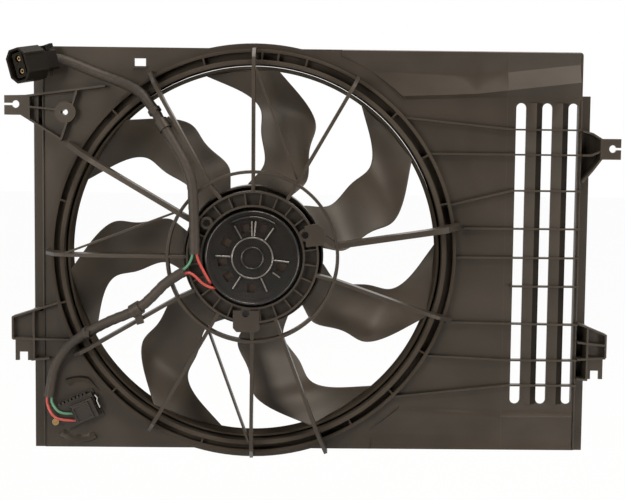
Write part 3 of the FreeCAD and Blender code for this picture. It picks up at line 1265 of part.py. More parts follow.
def wire_grommet():
    """Rubber block that leads the two red wires into the motor's side."""
    rear = GROMMET_FRONT + GROMMET_DEPTH
    ring = collar(RING_INNER_R, CAP_R, GROMMET_FRONT, rear)
    wedge = plate(((0, 0), (-70.0, -39.0), (-60.0, -56.0)), GROMMET_FRONT, rear)
    return ring.common(wedge)


NODES = {
    "shroud_panel": shroud_panel,
    "vent_grille": vent_grille,
    "perimeter_rim": perimeter_rim,
    "fan_barrel": fan_barrel,
    "support_hoop": support_hoop,
    "motor_mount_ring": motor_mount_ring,
    "upper_left_bracket": upper_left_bracket,
    "upper_right_bracket": upper_right_bracket,
    "lower_left_foot": lower_left_foot,
    "lower_right_foot": lower_right_foot,
    "fan_ring": fan_ring,
    "fan_hub": fan_hub,
    "hub_skirt": hub_skirt,
    "hub_insert": hub_insert,
    "fan_washer": fan_washer,
    "fan_nut": fan_nut,
    "motor_shaft": motor_shaft,
    "motor_can": motor_can,
    "motor_end_cap": motor_end_cap,
    "field_magnets": field_magnets,
    "armature_core": armature_core,
    "armature_windings": armature_windings,
    "commutator": commutator,
    "brush_card": brush_card,
    "brushes": brushes,
    "brush_springs": brush_springs,
    "motor_screws": motor_screws,
    "cable_ties": cable_ties,
    "connector_carrier": connector_carrier,
    "resistor_base": resistor_base,
    "resistor_plug": resistor_plug,
    "resistor_clip": resistor_clip,
    "resistor_core": resistor_core,
    "resistor_screw": resistor_screw,
    "wire_grommet": wire_grommet,
}
ON_CONNECTOR = {
    "connector_housing": connector_housing,
    "connector_latch": connector_latch,
    "connector_terminals": connector_terminals,
    "connector_seal": connector_seal,
}


def main():
    """Build every node and write it to parts."""
    os.makedirs("parts", exist_ok=True)
    shapes = {name: make() for name, make in NODES.items()}
    outer, inner, braces = support_fins()
    shapes["support_fins"] = group(outer)
    shapes["ring_spokes"] = group(inner)
    shapes["support_braces"] = group(braces)
    shapes["rear_bearing"] = bearing(CAP_BOSS_FRONT + 2)
    shapes["front_bearing"] = bearing(NOSE_REAR - WALL - BEARING_WIDTH)
    for name, make in ON_CONNECTOR.items():
        shapes[name] = placed(make(), CONNECTOR_CENTRE, CONNECTOR_TILT, CONNECTOR_YAW)
    shapes["upper_loom"] = tube("upper_loom", upper_loom_route(), LOOM_R)
    shapes["lower_loom"] = tube("lower_loom", LOWER_LOOM_ROUTE, LOOM_R)
    for name, route in wire_routes().items():
        wire = tube(name, route, WIRE_R).cut(shapes["resistor_plug"])
        shapes[name] = max(wire.Solids, key=lambda solid: solid.Volume)
    fins = Part.makeCompound(outer)
    shapes["upper_loom_clip"] = loom_clip(upper_loom_route(), UPPER_CLIP_RUN, UPPER_CLIP_FOOT, fins)
    shapes["lower_loom_clip"] = loom_clip(LOWER_LOOM_ROUTE, LOWER_CLIP_RUN, LOWER_CLIP_FOOT, fins)
    blade = fan_blade()
    for i in range(BLADE_COUNT):
        shapes["fan_blade_%d" % (i + 1)] = turned(blade, -i * 360.0 / BLADE_COUNT)
    for name, shape in shapes.items():
        print(name, len(shape.Solids), shape.isValid(), round(shape.Volume))
        shape.exportStep("parts/%s.step" % name)


main()
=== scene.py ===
"""Looks of a radiator cooling fan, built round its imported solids.

The frame gives every solid at its real place. The barrel, the fan, the looms and the wires are
modelled again here as smooth pieces. The other solids that show are copied with rounded edges, and
the small and the hidden ones keep the frame's own mesh. Lengths are in millimetres where a class
says so, and in metres elsewhere.
"""

import json
import logging
import math
from collections.abc import Callable, Iterable, Sequence
from dataclasses import dataclass, field
from enum import Enum
from typing import Any

import bmesh
import bpy
from mathutils import Matrix, Vector

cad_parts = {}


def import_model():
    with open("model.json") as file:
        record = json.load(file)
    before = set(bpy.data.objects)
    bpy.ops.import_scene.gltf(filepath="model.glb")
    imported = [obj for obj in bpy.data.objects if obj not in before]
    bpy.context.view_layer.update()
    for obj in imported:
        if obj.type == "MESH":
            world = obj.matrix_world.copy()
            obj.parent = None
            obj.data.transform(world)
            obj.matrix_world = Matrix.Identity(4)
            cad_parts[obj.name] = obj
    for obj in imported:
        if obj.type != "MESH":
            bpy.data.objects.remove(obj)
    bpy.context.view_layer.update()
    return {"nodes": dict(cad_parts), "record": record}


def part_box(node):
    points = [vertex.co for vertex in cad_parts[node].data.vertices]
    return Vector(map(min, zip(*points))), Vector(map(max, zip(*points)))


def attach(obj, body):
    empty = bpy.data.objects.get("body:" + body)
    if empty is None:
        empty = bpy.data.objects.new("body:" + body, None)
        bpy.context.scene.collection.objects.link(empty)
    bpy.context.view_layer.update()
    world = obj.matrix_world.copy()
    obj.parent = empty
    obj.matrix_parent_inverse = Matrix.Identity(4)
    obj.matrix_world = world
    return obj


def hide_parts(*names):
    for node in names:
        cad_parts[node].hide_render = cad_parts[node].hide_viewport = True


LOG = logging.getLogger("cooling_fan")
MM = 0.001
FAN_AXIS = Vector((0.0, 1.0, 0.0))
FULL_TURN = 2.0 * math.pi
SHARP_ANGLE = math.radians(32.0)
FLAT_ANGLE = math.radians(0.3)
WELD_REACH = 1e-6
ROUNDING_SEGMENTS = 2
SPAN_POINTS = 12

Point = tuple[float, float, float]
Colour = tuple[float, float, float]

WHITE: Colour = (1.0, 1.0, 1.0)


class Rides(Enum):
    """Body that a piece moves with."""

    SHROUD = "root"
    ROTOR = "fan_rotor"
    LATCH = "latch_lever"


class Group(Enum):
    """Shader node groups that more than one finish uses."""

    GRAIN = "moulded_grain"
    # edge mask: partly wear, partly a painted highlight along the edges
    EDGE_WEAR_HIGHLIGHT = "edge_wear_and_highlight"
    MOTTLE = "mottled_tone"


def rgba(colour: Colour) -> tuple[float, float, float, float]:
    """The colour with full alpha, as a socket takes it."""
    return (*colour, 1.0)


class NodeSheet:
    """Short calls to add and join nodes in one node tree."""

    # sockets of the Mix node when it mixes colours
    MIX_INPUTS = (0, 6, 7)
    MIX_OUTPUT = 2

    def __init__(self, tree: bpy.types.NodeTree) -> None:
        """Start on an empty tree.

        Args:
            tree: Node tree of a material, a world or a group.
        """
        self.tree = tree
        tree.nodes.clear()

    def add(self, kind: str, settings: dict[str, object] | None = None,
            **inputs: object) -> bpy.types.Node:
        """Add one node.

        Args:
            kind: Node type, without its ShaderNode prefix, or in full.
            settings: Properties of the node itself.
            inputs: Values for its sockets, with underscores for the spaces in their names.

        Returns:
            The new node.
        """
        full = kind if kind.startswith("Node") else "ShaderNode" + kind
        node = self.tree.nodes.new(full)
        for key, value in (settings or {}).items():
            setattr(node, key, value)
        for key, value in inputs.items():
            node.inputs[key.replace("_", " ")].default_value = value
        return node

    def join(self, source: bpy.types.NodeSocket, target: bpy.types.NodeSocket) -> None:
        """Link an output to an input."""
        self.tree.links.new(source, target)

    def fill(self, sockets: Iterable[bpy.types.NodeSocket], values: Iterable[object]) -> None:
        """Link each input to a socket, or give it its number or colour.

        Args:
            sockets: Inputs to fill.
            values: A socket, a number or a colour for each.
        """
        for socket, value in zip(sockets, values):
            if isinstance(value, bpy.types.NodeSocket):
                self.join(value, socket)
            else:
                socket.default_value = value

    def maths(self, operation: str, first: object, second: object = 0.0,
              clamp: bool = False) -> bpy.types.NodeSocket:
        """Add a Math node.

        Args:
            operation: Name of the operation.
            first: A socket or a number.
            second: A socket or a number.
            clamp: Whether the result is kept between 0 and 1.

        Returns:
            The node's output.
        """
        node = self.add("Math", {"operation": operation, "use_clamp": clamp})
        self.fill(node.inputs, (first, second))
        return node.outputs[0]

    def mix(self, factor: object, first: object, second: object) -> bpy.types.NodeSocket:
        """Mix two colours.

        Args:
            factor: A socket or a number.
            first: A socket or a colour.
            second: A socket or a colour.

        Returns:
            The mixed colour.
        """
        node = self.add("Mix", {"data_type": "RGBA"})
        self.fill([node.inputs[number] for number in self.MIX_INPUTS], (factor, first, second))
        return node.outputs[self.MIX_OUTPUT]

    def blend(self, factor: bpy.types.NodeSocket, first: bpy.types.Node,
              second: bpy.types.Node) -> bpy.types.NodeSocket:
        """Mix two shaders.

        Args:
            factor: Share of the second shader.
            first: Node of the first shader.
            second: Node of the second shader.

        Returns:
            The mixed shader.
        """
        node = self.add("MixShader")
        self.fill(node.inputs, (factor, first.outputs[0], second.outputs[0]))
        return node.outputs[0]

    def show(self, shader: bpy.types.NodeSocket, kind: str = "OutputMaterial") -> None:
        """Lead a shader to a new output node."""
        self.join(shader, self.add(kind).inputs["Surface"])


class GroupShelf:
    """Node groups, each built once."""

    def __init__(self) -> None:
        """Build every group."""
        self.groups = {
            Group.GRAIN: self._grain(),
            Group.EDGE_WEAR_HIGHLIGHT: self._edge_wear_and_highlight(),
            Group.MOTTLE: self._mottle(),
        }

    @staticmethod
    def _new(group: Group, inputs: Sequence[tuple[str, str, object]],
             outputs: Sequence[tuple[str, str]]) -> tuple[NodeSheet, bpy.types.Node, bpy.types.Node]:
        """Make an empty group with its sockets.

        Args:
            group: Which group this is.
            inputs: Name, socket type and default of each input.
            outputs: Name and socket type of each output.

        Returns:
            The group's sheet, its input node and its output node.
        """
        tree = bpy.data.node_groups.new(group.value, "ShaderNodeTree")
        for name, kind, default in inputs:
            tree.interface.new_socket(name, in_out="INPUT", socket_type=kind).default_value = default
        for name, kind in outputs:
            tree.interface.new_socket(name, in_out="OUTPUT", socket_type=kind)
        sheet = NodeSheet(tree)
        return sheet, sheet.add("NodeGroupInput"), sheet.add("NodeGroupOutput")

    @staticmethod
    def _noise(sheet: NodeSheet, **inputs: object) -> bpy.types.Node:
        """Noise that sits still on the object.

        Args:
            sheet: Sheet to add it to.
            inputs: Values for its sockets.

        Returns:
            The noise node.
        """
        noise = sheet.add("TexNoise", **inputs)
        sheet.join(sheet.add("TexCoord").outputs["Object"], noise.inputs["Vector"])
        return noise

    def _grain(self) -> bpy.types.NodeTree:
        """Fine pebbled surface of a textured mould, with soft shrink marks under it.

        Returns:
            The group's tree.
        """
        sheet, start, end = self._new(
            Group.GRAIN,
            (("Scale", "NodeSocketFloat", 900.0), ("Depth", "NodeSocketFloat", 0.00004),
             ("Waviness", "NodeSocketFloat", 0.0002)),
            (("Normal", "NodeSocketVector"), ("Fine", "NodeSocketFloat")))
        pebble = self._noise(sheet, Detail=3.0, Roughness=0.55)
        sheet.join(start.outputs["Scale"], pebble.inputs["Scale"])
        shrink = self._noise(sheet, Detail=1.5, Roughness=0.4, Scale=26.0)
        fine = sheet.maths("MULTIPLY", pebble.outputs[0], start.outputs["Depth"])
        soft = sheet.maths("MULTIPLY", shrink.outputs[0], start.outputs["Waviness"])
        bump = sheet.add("Bump", Strength=1.0, Distance=1.0)
        sheet.join(sheet.maths("ADD", fine, soft), bump.inputs["Height"])
        sheet.join(bump.outputs[0], end.inputs["Normal"])
        sheet.join(pebble.outputs[0], end.inputs["Fine"])
        return sheet.tree

    def _edge_wear_and_highlight(self) -> bpy.types.NodeTree:
        """Mask of the edges that handling has rubbed smooth and paler; the paler tone is partly wear and
        partly a painted highlight along the edges.

        Returns:
            The group's tree.
        """
        patch_gain = 6.0
        sheet, start, end = self._new(
            Group.EDGE_WEAR_HIGHLIGHT,
            (("Width", "NodeSocketFloat", 0.0006), ("Amount", "NodeSocketFloat", 0.5)),
            (("Mask", "NodeSocketFloat"),))
        bevel = sheet.add("Bevel", {"samples": 4})
        sheet.join(start.outputs["Width"], bevel.inputs["Radius"])
        surface = sheet.add("NewGeometry")
        across = sheet.add("VectorMath", {"operation": "DOT_PRODUCT"})
        sheet.join(bevel.outputs[0], across.inputs[0])
        sheet.join(surface.outputs["Normal"], across.inputs[1])
        edge = sheet.maths("SUBTRACT", 1.0, across.outputs["Value"], clamp=True)
        patch = self._noise(sheet, Scale=60.0, Detail=2.0)
        gain = sheet.maths("MULTIPLY", patch.outputs[0], patch_gain)
        strong = sheet.maths("MULTIPLY", edge, gain, clamp=True)
        mask = sheet.maths("MULTIPLY", strong, start.outputs["Amount"], clamp=True)
        sheet.join(mask, end.inputs["Mask"])
        return sheet.tree

    def _mottle(self) -> bpy.types.NodeTree:
        """Slow change between two tones, as where plastic flowed in the mould.

        Returns:
            The group's tree.
        """
        sheet, start, end = self._new(
            Group.MOTTLE,
            (("Tone", "NodeSocketColor", rgba((0.5, 0.5, 0.5))),
             ("Other", "NodeSocketColor", rgba((0.4, 0.4, 0.4))),
             ("Scale", "NodeSocketFloat", 14.0)),
            (("Color", "NodeSocketColor"),))
        cloud = self._noise(sheet, Detail=4.0, Roughness=0.5, Distortion=0.6)
        sheet.join(start.outputs["Scale"], cloud.inputs["Scale"])
        spread = sheet.add("MapRange", From_Min=0.35, From_Max=0.65)
        sheet.join(cloud.outputs[0], spread.inputs["Value"])
        colour = sheet.mix(spread.outputs[0], start.outputs["Tone"], start.outputs["Other"])
        sheet.join(colour, end.inputs["Color"])
        return sheet.tree


def blank_material(name: str) -> tuple[bpy.types.Material, NodeSheet]:
    """Make a material with nothing in its node tree.

    Args:
        name: Name of the material.

    Returns:
        The material and its sheet.
    """
    material = bpy.data.materials.new(name)
    material.use_nodes = True
    return material, NodeSheet(material.node_tree)


@dataclass(frozen=True)
class Finish:
    """How one material looks, and the record slot that it stands for."""

    name: str
    slot: str
    tone: Colour
    other: Colour
    roughness: float
    metallic: float = 0.0
    specular: float = 0.4
    coat: float = 0.0
    coat_roughness: float = 0.12
    grain_scale: float = 900.0
    grain_depth: float = 0.00004
    grain_spread: float = 0.12
    waviness: float = 0.0002
    mottle_scale: float = 14.0
    # amount and tone of the edge mask: partly wear, partly a painted highlight along the edges
    edge_wear_highlight: float = 0.35
    rub_polish: float = 0.12
    edge_wear_highlight_tone: Colour = (0.16, 0.15, 0.14)

    def material(self, shelf: GroupShelf) -> bpy.types.Material:
        """Build the material.

        Args:
            shelf: Node groups to place in it.

        Returns:
            The material.
        """
        material, sheet = blank_material(self.name)
        material.diffuse_color = rgba(self.tone)
        shader = sheet.add("BsdfPrincipled", Metallic=self.metallic, Specular_IOR_Level=self.specular,
                           Coat_Weight=self.coat, Coat_Roughness=self.coat_roughness)
        tone = self._group(sheet, shelf, Group.MOTTLE, Tone=rgba(self.tone), Other=rgba(self.other),
                           Scale=self.mottle_scale)
        edge_wear_highlight = self._group(sheet, shelf, Group.EDGE_WEAR_HIGHLIGHT, Amount=self.edge_wear_highlight)
        grain = self._group(sheet, shelf, Group.GRAIN, Scale=self.grain_scale, Depth=self.grain_depth,
                            Waviness=self.waviness)
        # edges take the paler tone: partly wear, partly a painted highlight
        colour = sheet.mix(edge_wear_highlight.outputs["Mask"], tone.outputs["Color"], rgba(self.edge_wear_highlight_tone))
        pebbled = sheet.maths("MULTIPLY", grain.outputs["Fine"], self.grain_spread)
        rough = sheet.maths("ADD", pebbled, self.roughness - self.grain_spread / 2)
        polish = sheet.maths("MULTIPLY", edge_wear_highlight.outputs["Mask"], self.rub_polish)
        rough = sheet.maths("SUBTRACT", rough, polish, clamp=True)
        sheet.join(colour, shader.inputs["Base Color"])
        sheet.join(rough, shader.inputs["Roughness"])
        sheet.join(grain.outputs["Normal"], shader.inputs["Normal"])
        sheet.show(shader.outputs[0])
        return material

    @staticmethod
    def _group(sheet: NodeSheet, shelf: GroupShelf, group: Group, **values: object) -> bpy.types.Node:
        """Place a shared group with its own values and return its node."""
        return sheet.add("Group", {"node_tree": shelf.groups[group]}, **values)


FINISHES = (
    Finish("shroud_moulding", "shroud_plastic", (0.036, 0.0308, 0.0258), (0.027, 0.023, 0.019), 0.42,
           specular=0.24, edge_wear_highlight_tone=(0.13, 0.115, 0.10)),
    Finish("fan_moulding", "fan_plastic", (0.048, 0.041, 0.034), (0.037, 0.032, 0.0265), 0.38,
           specular=0.26, grain_depth=0.00002, waviness=0.0003, edge_wear_highlight_tone=(0.12, 0.105, 0.09)),
    Finish("motor_enamel", "motor_black", (0.008, 0.0075, 0.007), (0.011, 0.010, 0.009), 0.20,
           specular=0.60, grain_scale=120.0, grain_depth=0.0, waviness=0.0, edge_wear_highlight=0.0,
           edge_wear_highlight_tone=(0.14, 0.13, 0.12)),
    Finish("bright_steel", "steel", (0.55, 0.54, 0.52), (0.46, 0.45, 0.43), 0.32, metallic=1.0,
           grain_depth=0.00001, edge_wear_highlight_tone=(0.7, 0.7, 0.68)),
    Finish("winding_copper", "copper", (0.62, 0.26, 0.12), (0.50, 0.19, 0.08), 0.35, metallic=1.0,
           edge_wear_highlight_tone=(0.75, 0.40, 0.24)),
    Finish("ferrite", "magnet", (0.035, 0.034, 0.034), (0.05, 0.048, 0.046), 0.6),
    Finish("phenolic_card", "card", (0.035, 0.018, 0.010), (0.024, 0.013, 0.008), 0.5,
           edge_wear_highlight_tone=(0.1, 0.05, 0.03)),
    Finish("pressed_carbon", "carbon", (0.02, 0.02, 0.02), (0.03, 0.03, 0.03), 0.55),
    Finish("harness_tape", "loom_sleeve", (0.040, 0.035, 0.031), (0.030, 0.026, 0.023), 0.50,
           specular=0.2, grain_scale=1800.0, grain_depth=0.00006, waviness=0.0),
    Finish("red_insulation", "red_wire", (0.36, 0.052, 0.045), (0.29, 0.042, 0.036), 0.38,
           grain_depth=0.0, edge_wear_highlight_tone=(0.75, 0.2, 0.17)),
    Finish("green_insulation", "green_wire", (0.060, 0.20, 0.125), (0.048, 0.16, 0.10), 0.38,
           grain_depth=0.0, edge_wear_highlight_tone=(0.2, 0.5, 0.35)),
    Finish("connector_nylon", "connector_plastic", (0.011, 0.0095, 0.008), (0.008, 0.007, 0.006), 0.42,
           specular=0.06, grain_depth=0.00002, edge_wear_highlight_tone=(0.09, 0.08, 0.07)),
    Finish("contact_brass", "brass", (0.30, 0.22, 0.11), (0.24, 0.17, 0.08), 0.50, metallic=1.0,
           grain_depth=0.0, edge_wear_highlight_tone=(0.8, 0.66, 0.4)),
    Finish("moulded_rubber", "rubber", (0.018, 0.018, 0.017), (0.024, 0.023, 0.022), 0.7),
    Finish("fired_ceramic", "ceramic", (0.55, 0.52, 0.46), (0.50, 0.47, 0.41), 0.65,
           edge_wear_highlight_tone=(0.6, 0.57, 0.5)),
)

# paler copy of the motor enamel: a painted highlight on the cap's ribs and boss ring
BEAD_PAINTED_HIGHLIGHT = Finish("bead_painted_highlight", "motor_black", (0.075, 0.070, 0.063), (0.030, 0.028, 0.025), 0.24,
                     specular=0.8, coat=0.5, grain_depth=0.0, waviness=0.0, mottle_scale=45.0, edge_wear_highlight=0.0)
# lighter, matt copy of the shroud plastic for the barrel alone: painted light
BARREL_PAINTED_LIGHT = Finish("barrel_painted_light", "shroud_plastic", (0.053, 0.0468, 0.0405), (0.043, 0.038, 0.033),
                     0.7, specular=0.0)
MATT_BAND = Finish("matt_band", "fan_plastic", (0.050, 0.043, 0.036), (0.040, 0.035, 0.029), 0.7,
                   specular=0.0)
RESISTOR_NYLON = Finish("resistor_nylon", "connector_plastic", (0.026, 0.0225, 0.019),
                        (0.018, 0.0155, 0.013), 0.40, specular=0.30, grain_depth=0.00002,
                        edge_wear_highlight_tone=(0.14, 0.125, 0.11))
# darker copy of the shroud plastic: painted shade on the grille's slopes
SLOPE_PAINTED_SHADE = Finish("slope_painted_shade", "shroud_plastic", (0.015, 0.013, 0.011), (0.011, 0.0095, 0.008), 0.6,
                    specular=0.05, edge_wear_highlight=0.0)
VARIANTS = (BEAD_PAINTED_HIGHLIGHT, BARREL_PAINTED_LIGHT, MATT_BAND, RESISTOR_NYLON, SLOPE_PAINTED_SHADE)


def new_object(name: str, data: bpy.types.ID) -> bpy.types.Object:
    """Make an object and link it into the scene.

    Args:
        name: Name of the object.
        data: Mesh, curve, camera or light that it shows.

    Returns:
        The new object.
    """
    item = bpy.data.objects.new(name, data)
    bpy.context.scene.collection.objects.link(item)
    return item


def to_mesh(shape: bmesh.types.BMesh, name: str) -> bpy.types.Mesh:
    """Write a bmesh to a mesh and free it.

    Args:
        shape: Bmesh to write.
        name: Name of the mesh.

    Returns:
        The new mesh.
    """
    mesh = bpy.data.meshes.new(name)
    shape.to_mesh(mesh)
    shape.free()
    return mesh


class Workshop:
    """Finishes and body links that every piece needs."""

    def __init__(self, nodes: dict[str, bpy.types.Object], record: dict[str, Any]) -> None:
        """Build the materials.

        Args:
            nodes: The frame's solids by name.
            record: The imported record.
        """
        self.nodes = nodes
        shelf = GroupShelf()
        self.materials = {finish.slot: finish.material(shelf) for finish in FINISHES}
        self.variants = {finish.name: finish.material(shelf) for finish in VARIANTS}
        self.slots = {part["node"]: part["material_slot"] for part in record["subparts"]}
        bodies = record["behaviour"]["bodies"]
        self.bodies = {node: body for body, members in bodies.items() for node in members}

    def dress_solids(self) -> None:
        """Give every solid of the frame its finish."""
        for name, solid in self.nodes.items():
            solid.data.materials.clear()
            solid.data.materials.append(self.materials[self.slots[name]])

    def place(self, name: str, shape: bmesh.types.BMesh, slot: str, body: Rides,
              replaces: Sequence[str] = (), weighted: bool = False) -> bpy.types.Object:
        """Turn a finished bmesh into a piece of the object.

        Args:
            name: Name of the piece.
            shape: Its mesh, in metres, at its real place.
            slot: Material slot that it takes its finish from.
            body: Body that it moves with.
            replaces: Solids that it stands for.
            weighted: Whether large faces decide how the edges are shaded.

        Returns:
            The new object.
        """
        bmesh.ops.recalc_face_normals(shape, faces=shape.faces)
        for face in shape.faces:
            face.smooth = True
        mesh = to_mesh(shape, name)
        mesh.set_sharp_from_angle(angle=SHARP_ANGLE)
        mesh.materials.append(self.materials[slot])
        piece = new_object(name, mesh)
        if weighted:
            shading = piece.modifiers.new("weighted", "WEIGHTED_NORMAL")
            shading.keep_sharp = True
        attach(piece, body.value)
        if replaces:
            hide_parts(*replaces)
        LOG.info("%s: %d faces, rides on %s", name, len(mesh.polygons), body.value)
        return piece

    def vary(self, piece: bpy.types.Object, finish: Finish) -> None:
        """Give the piece another finish of its own slot."""
        piece.data.materials[0] = self.variants[finish.name]

    def soften(self, node: str, width: float) -> bpy.types.Object:
        """Copy a solid, round its sharp edges and put the copy in its place.

        Args:
            node: Name of the solid.
            width: Width of the rounding, in metres.

        Returns:
            The softened piece.
        """
        shape = bmesh.new()
        shape.from_mesh(self.nodes[node].data)
        bmesh.ops.remove_doubles(shape, verts=shape.verts, dist=WELD_REACH)
        bmesh.ops.dissolve_limit(shape, angle_limit=FLAT_ANGLE, verts=shape.verts, edges=shape.edges,
                                 use_dissolve_boundaries=False, delimit={"NORMAL"})
        round_edges(shape, width)
        return self.place(node + "_piece", shape, self.slots[node], Rides(self.bodies[node]), (node,),
                          weighted=True)

    def soften_all(self, widths: dict[str, float]) -> list[bpy.types.Object]:
        """Soften several solids, each by its width in millimetres, and return the pieces."""
        return [self.soften(node, width * MM) for node, width in widths.items()]


def round_edges(shape: bmesh.types.BMesh, width: float) -> None:
    """Round every edge that turns sharply.

    Args:
        shape: Mesh to change.
        width: Width of the rounding, in metres.
    """
    edges = [edge for edge in shape.edges
             if edge.is_manifold and edge.calc_face_angle(0.0) > SHARP_ANGLE]
    bmesh.ops.bevel(shape, geom=edges, offset=width, offset_type="OFFSET", affect="EDGES",
                    segments=ROUNDING_SEGMENTS, profile=0.5, material=-1, clamp_overlap=True)


def ring_section(shape: bmesh.types.BMesh, outline: Iterable[tuple[float, float]], steps: int) -> None:
    """Turn a closed outline once round the fan axis.

    Args:
        shape: Mesh that the ring is added to.
        outline: Radius and depth of each corner, in millimetres.
        steps: Segments round the turn.
    """
    corners = [shape.verts.new((radius * MM, depth * MM, 0.0)) for radius, depth in outline]
    edges = [shape.edges.new(pair) for pair in zip(corners, corners[1:] + corners[:1])]
    bmesh.ops.spin(shape, geom=corners + edges, cent=(0, 0, 0), axis=FAN_AXIS, dvec=(0, 0, 0),
                   angle=FULL_TURN, steps=steps, use_merge=True)


def block(shape: bmesh.types.BMesh, low: Point, high: Point, turn: float = 0.0) -> None:
    """Add a box, then turn it round the fan axis.

    Args:
        shape: Mesh that the box is added to.
        low: Lowest corner, in millimetres.
        high: Highest corner, in millimetres.
        turn: Degrees anticlockwise as the motor side is seen.
    """
    low_corner, high_corner = Vector(low) * MM, Vector(high) * MM
    size = high_corner - low_corner
    place = (Matrix.Rotation(-math.radians(turn), 4, FAN_AXIS)
             @ Matrix.Translation((low_corner + high_corner) / 2) @ Matrix.Diagonal((*size, 1.0)))
    bmesh.ops.create_cube(shape, size=1.0, matrix=place)


@dataclass
class Shroud:
    """The shroud's flat and ribbed parts, with painted shade on the grille's slopes and thin trims along
    the panel. Millimetres.
    """

    edge_widths: dict[str, float] = field(default_factory=lambda: {
        "shroud_panel": 0.5, "perimeter_rim": 0.6, "support_fins": 0.8, "ring_spokes": 0.8,
        "support_braces": 0.5, "support_hoop": 0.9, "motor_mount_ring": 0.5, "upper_left_bracket": 0.5,
        "upper_right_bracket": 0.5, "lower_left_foot": 0.5, "lower_right_foot": 0.5,
    })
    grille_edge: float = 0.5
    slope_turn: float = 0.2
    trims: dict[str, tuple[Point, Point]] = field(default_factory=lambda: {
        "left_edge_bead": ((-245.4, -26.2, -231.0), (-243.6, -23.8, 201.0)),
        "right_edge_bead": ((378.2, -25.8, -231.0), (380.0, -23.8, 180.0)),
        "left_foot_web": ((-258.2, -26.5, -127.6), (-245.0, -24.0, -70.5)),
    })
    trim_edge: float = 0.4

    def build(self, shop: Workshop) -> None:
        """Soften each solid, paint shade on the grille's slopes and add the trims.

        Args:
            shop: Finishes and body links.
        """
        shop.soften_all(self.edge_widths)
        self._grille(shop)
        for name, (low, high) in self.trims.items():
            trim = bmesh.new()
            block(trim, low, high)
            round_edges(trim, self.trim_edge * MM)
            shop.place(name, trim, "shroud_plastic", Rides.SHROUD)

    def _grille(self, shop: Workshop) -> None:
        """Grille with painted shade, a darker plastic, on the slopes at the left of its slots.

        Args:
            shop: Finishes and body links.
        """
        grille = shop.soften("vent_grille", self.grille_edge * MM).data
        painted_shade_index = len(grille.materials)
        grille.materials.append(shop.variants[SLOPE_PAINTED_SHADE.name])
        # faces turned to the right and to the front get the painted shade
        for face in grille.polygons:
            if face.normal.x > self.slope_turn and face.normal.y < -self.slope_turn:
                face.material_index = painted_shade_index


@dataclass
class Barrel:
    """Round wall close to the fan, with its rolled lip and open pockets. Millimetres and degrees."""

    bore: float = 217.0
    lip_width: float = 5.0
    lip_wall: float = 1.8
    lip_depth: float = 6.0
    pocket_width: float = 9.0
    pocket_wall: float = 4.0
    pocket_front: float = -36.0
    floor: float = -26.5
    seat: float = -24.0
    web: float = 2.0
    web_root: float = 1.0
    web_angles: tuple[float, ...] = (15, 30, 45, 60, 75, 83.3, 88, 105, 120, 135, 150, 165, 180, 195,
                                     210, 225, 240, 255, 270, 290.3, 300, 315, 330, 342)
    steps: int = 240
    edge: float = 0.6

    def build(self, shop: Workshop) -> None:
        """Spin the section and add the webs.

        Args:
            shop: Finishes and body links.
        """
        low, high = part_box("fan_barrel")
        front, rear = low.y / MM, high.y / MM
        lip = self.bore + self.lip_width
        pocket = lip + self.pocket_width
        outer = pocket + self.pocket_wall
        lip_rear = front + self.lip_depth
        shape = bmesh.new()
        ring_section(shape, (
            (self.bore, rear), (self.bore, front), (lip, front), (lip, self.floor), (pocket, self.floor),
            (pocket, self.pocket_front), (outer, self.pocket_front), (outer, self.seat),
            (lip - self.lip_wall, self.seat), (lip - self.lip_wall, lip_rear),
            (self.bore + self.lip_wall, lip_rear), (self.bore + self.lip_wall, rear)), self.steps)
        round_edges(shape, self.edge * MM)
        for angle in self.web_angles:
            block(shape, (lip - self.web_root, self.pocket_front, -self.web / 2),
                  (pocket + self.web_root, self.floor + self.web_root, self.web / 2), angle)
        # the barrel takes the lighter copy of the shroud plastic as painted light
        piece = shop.place("barrel", shape, BARREL_PAINTED_LIGHT.slot, Rides.SHROUD, ("fan_barrel",))
        shop.vary(piece, BARREL_PAINTED_LIGHT)


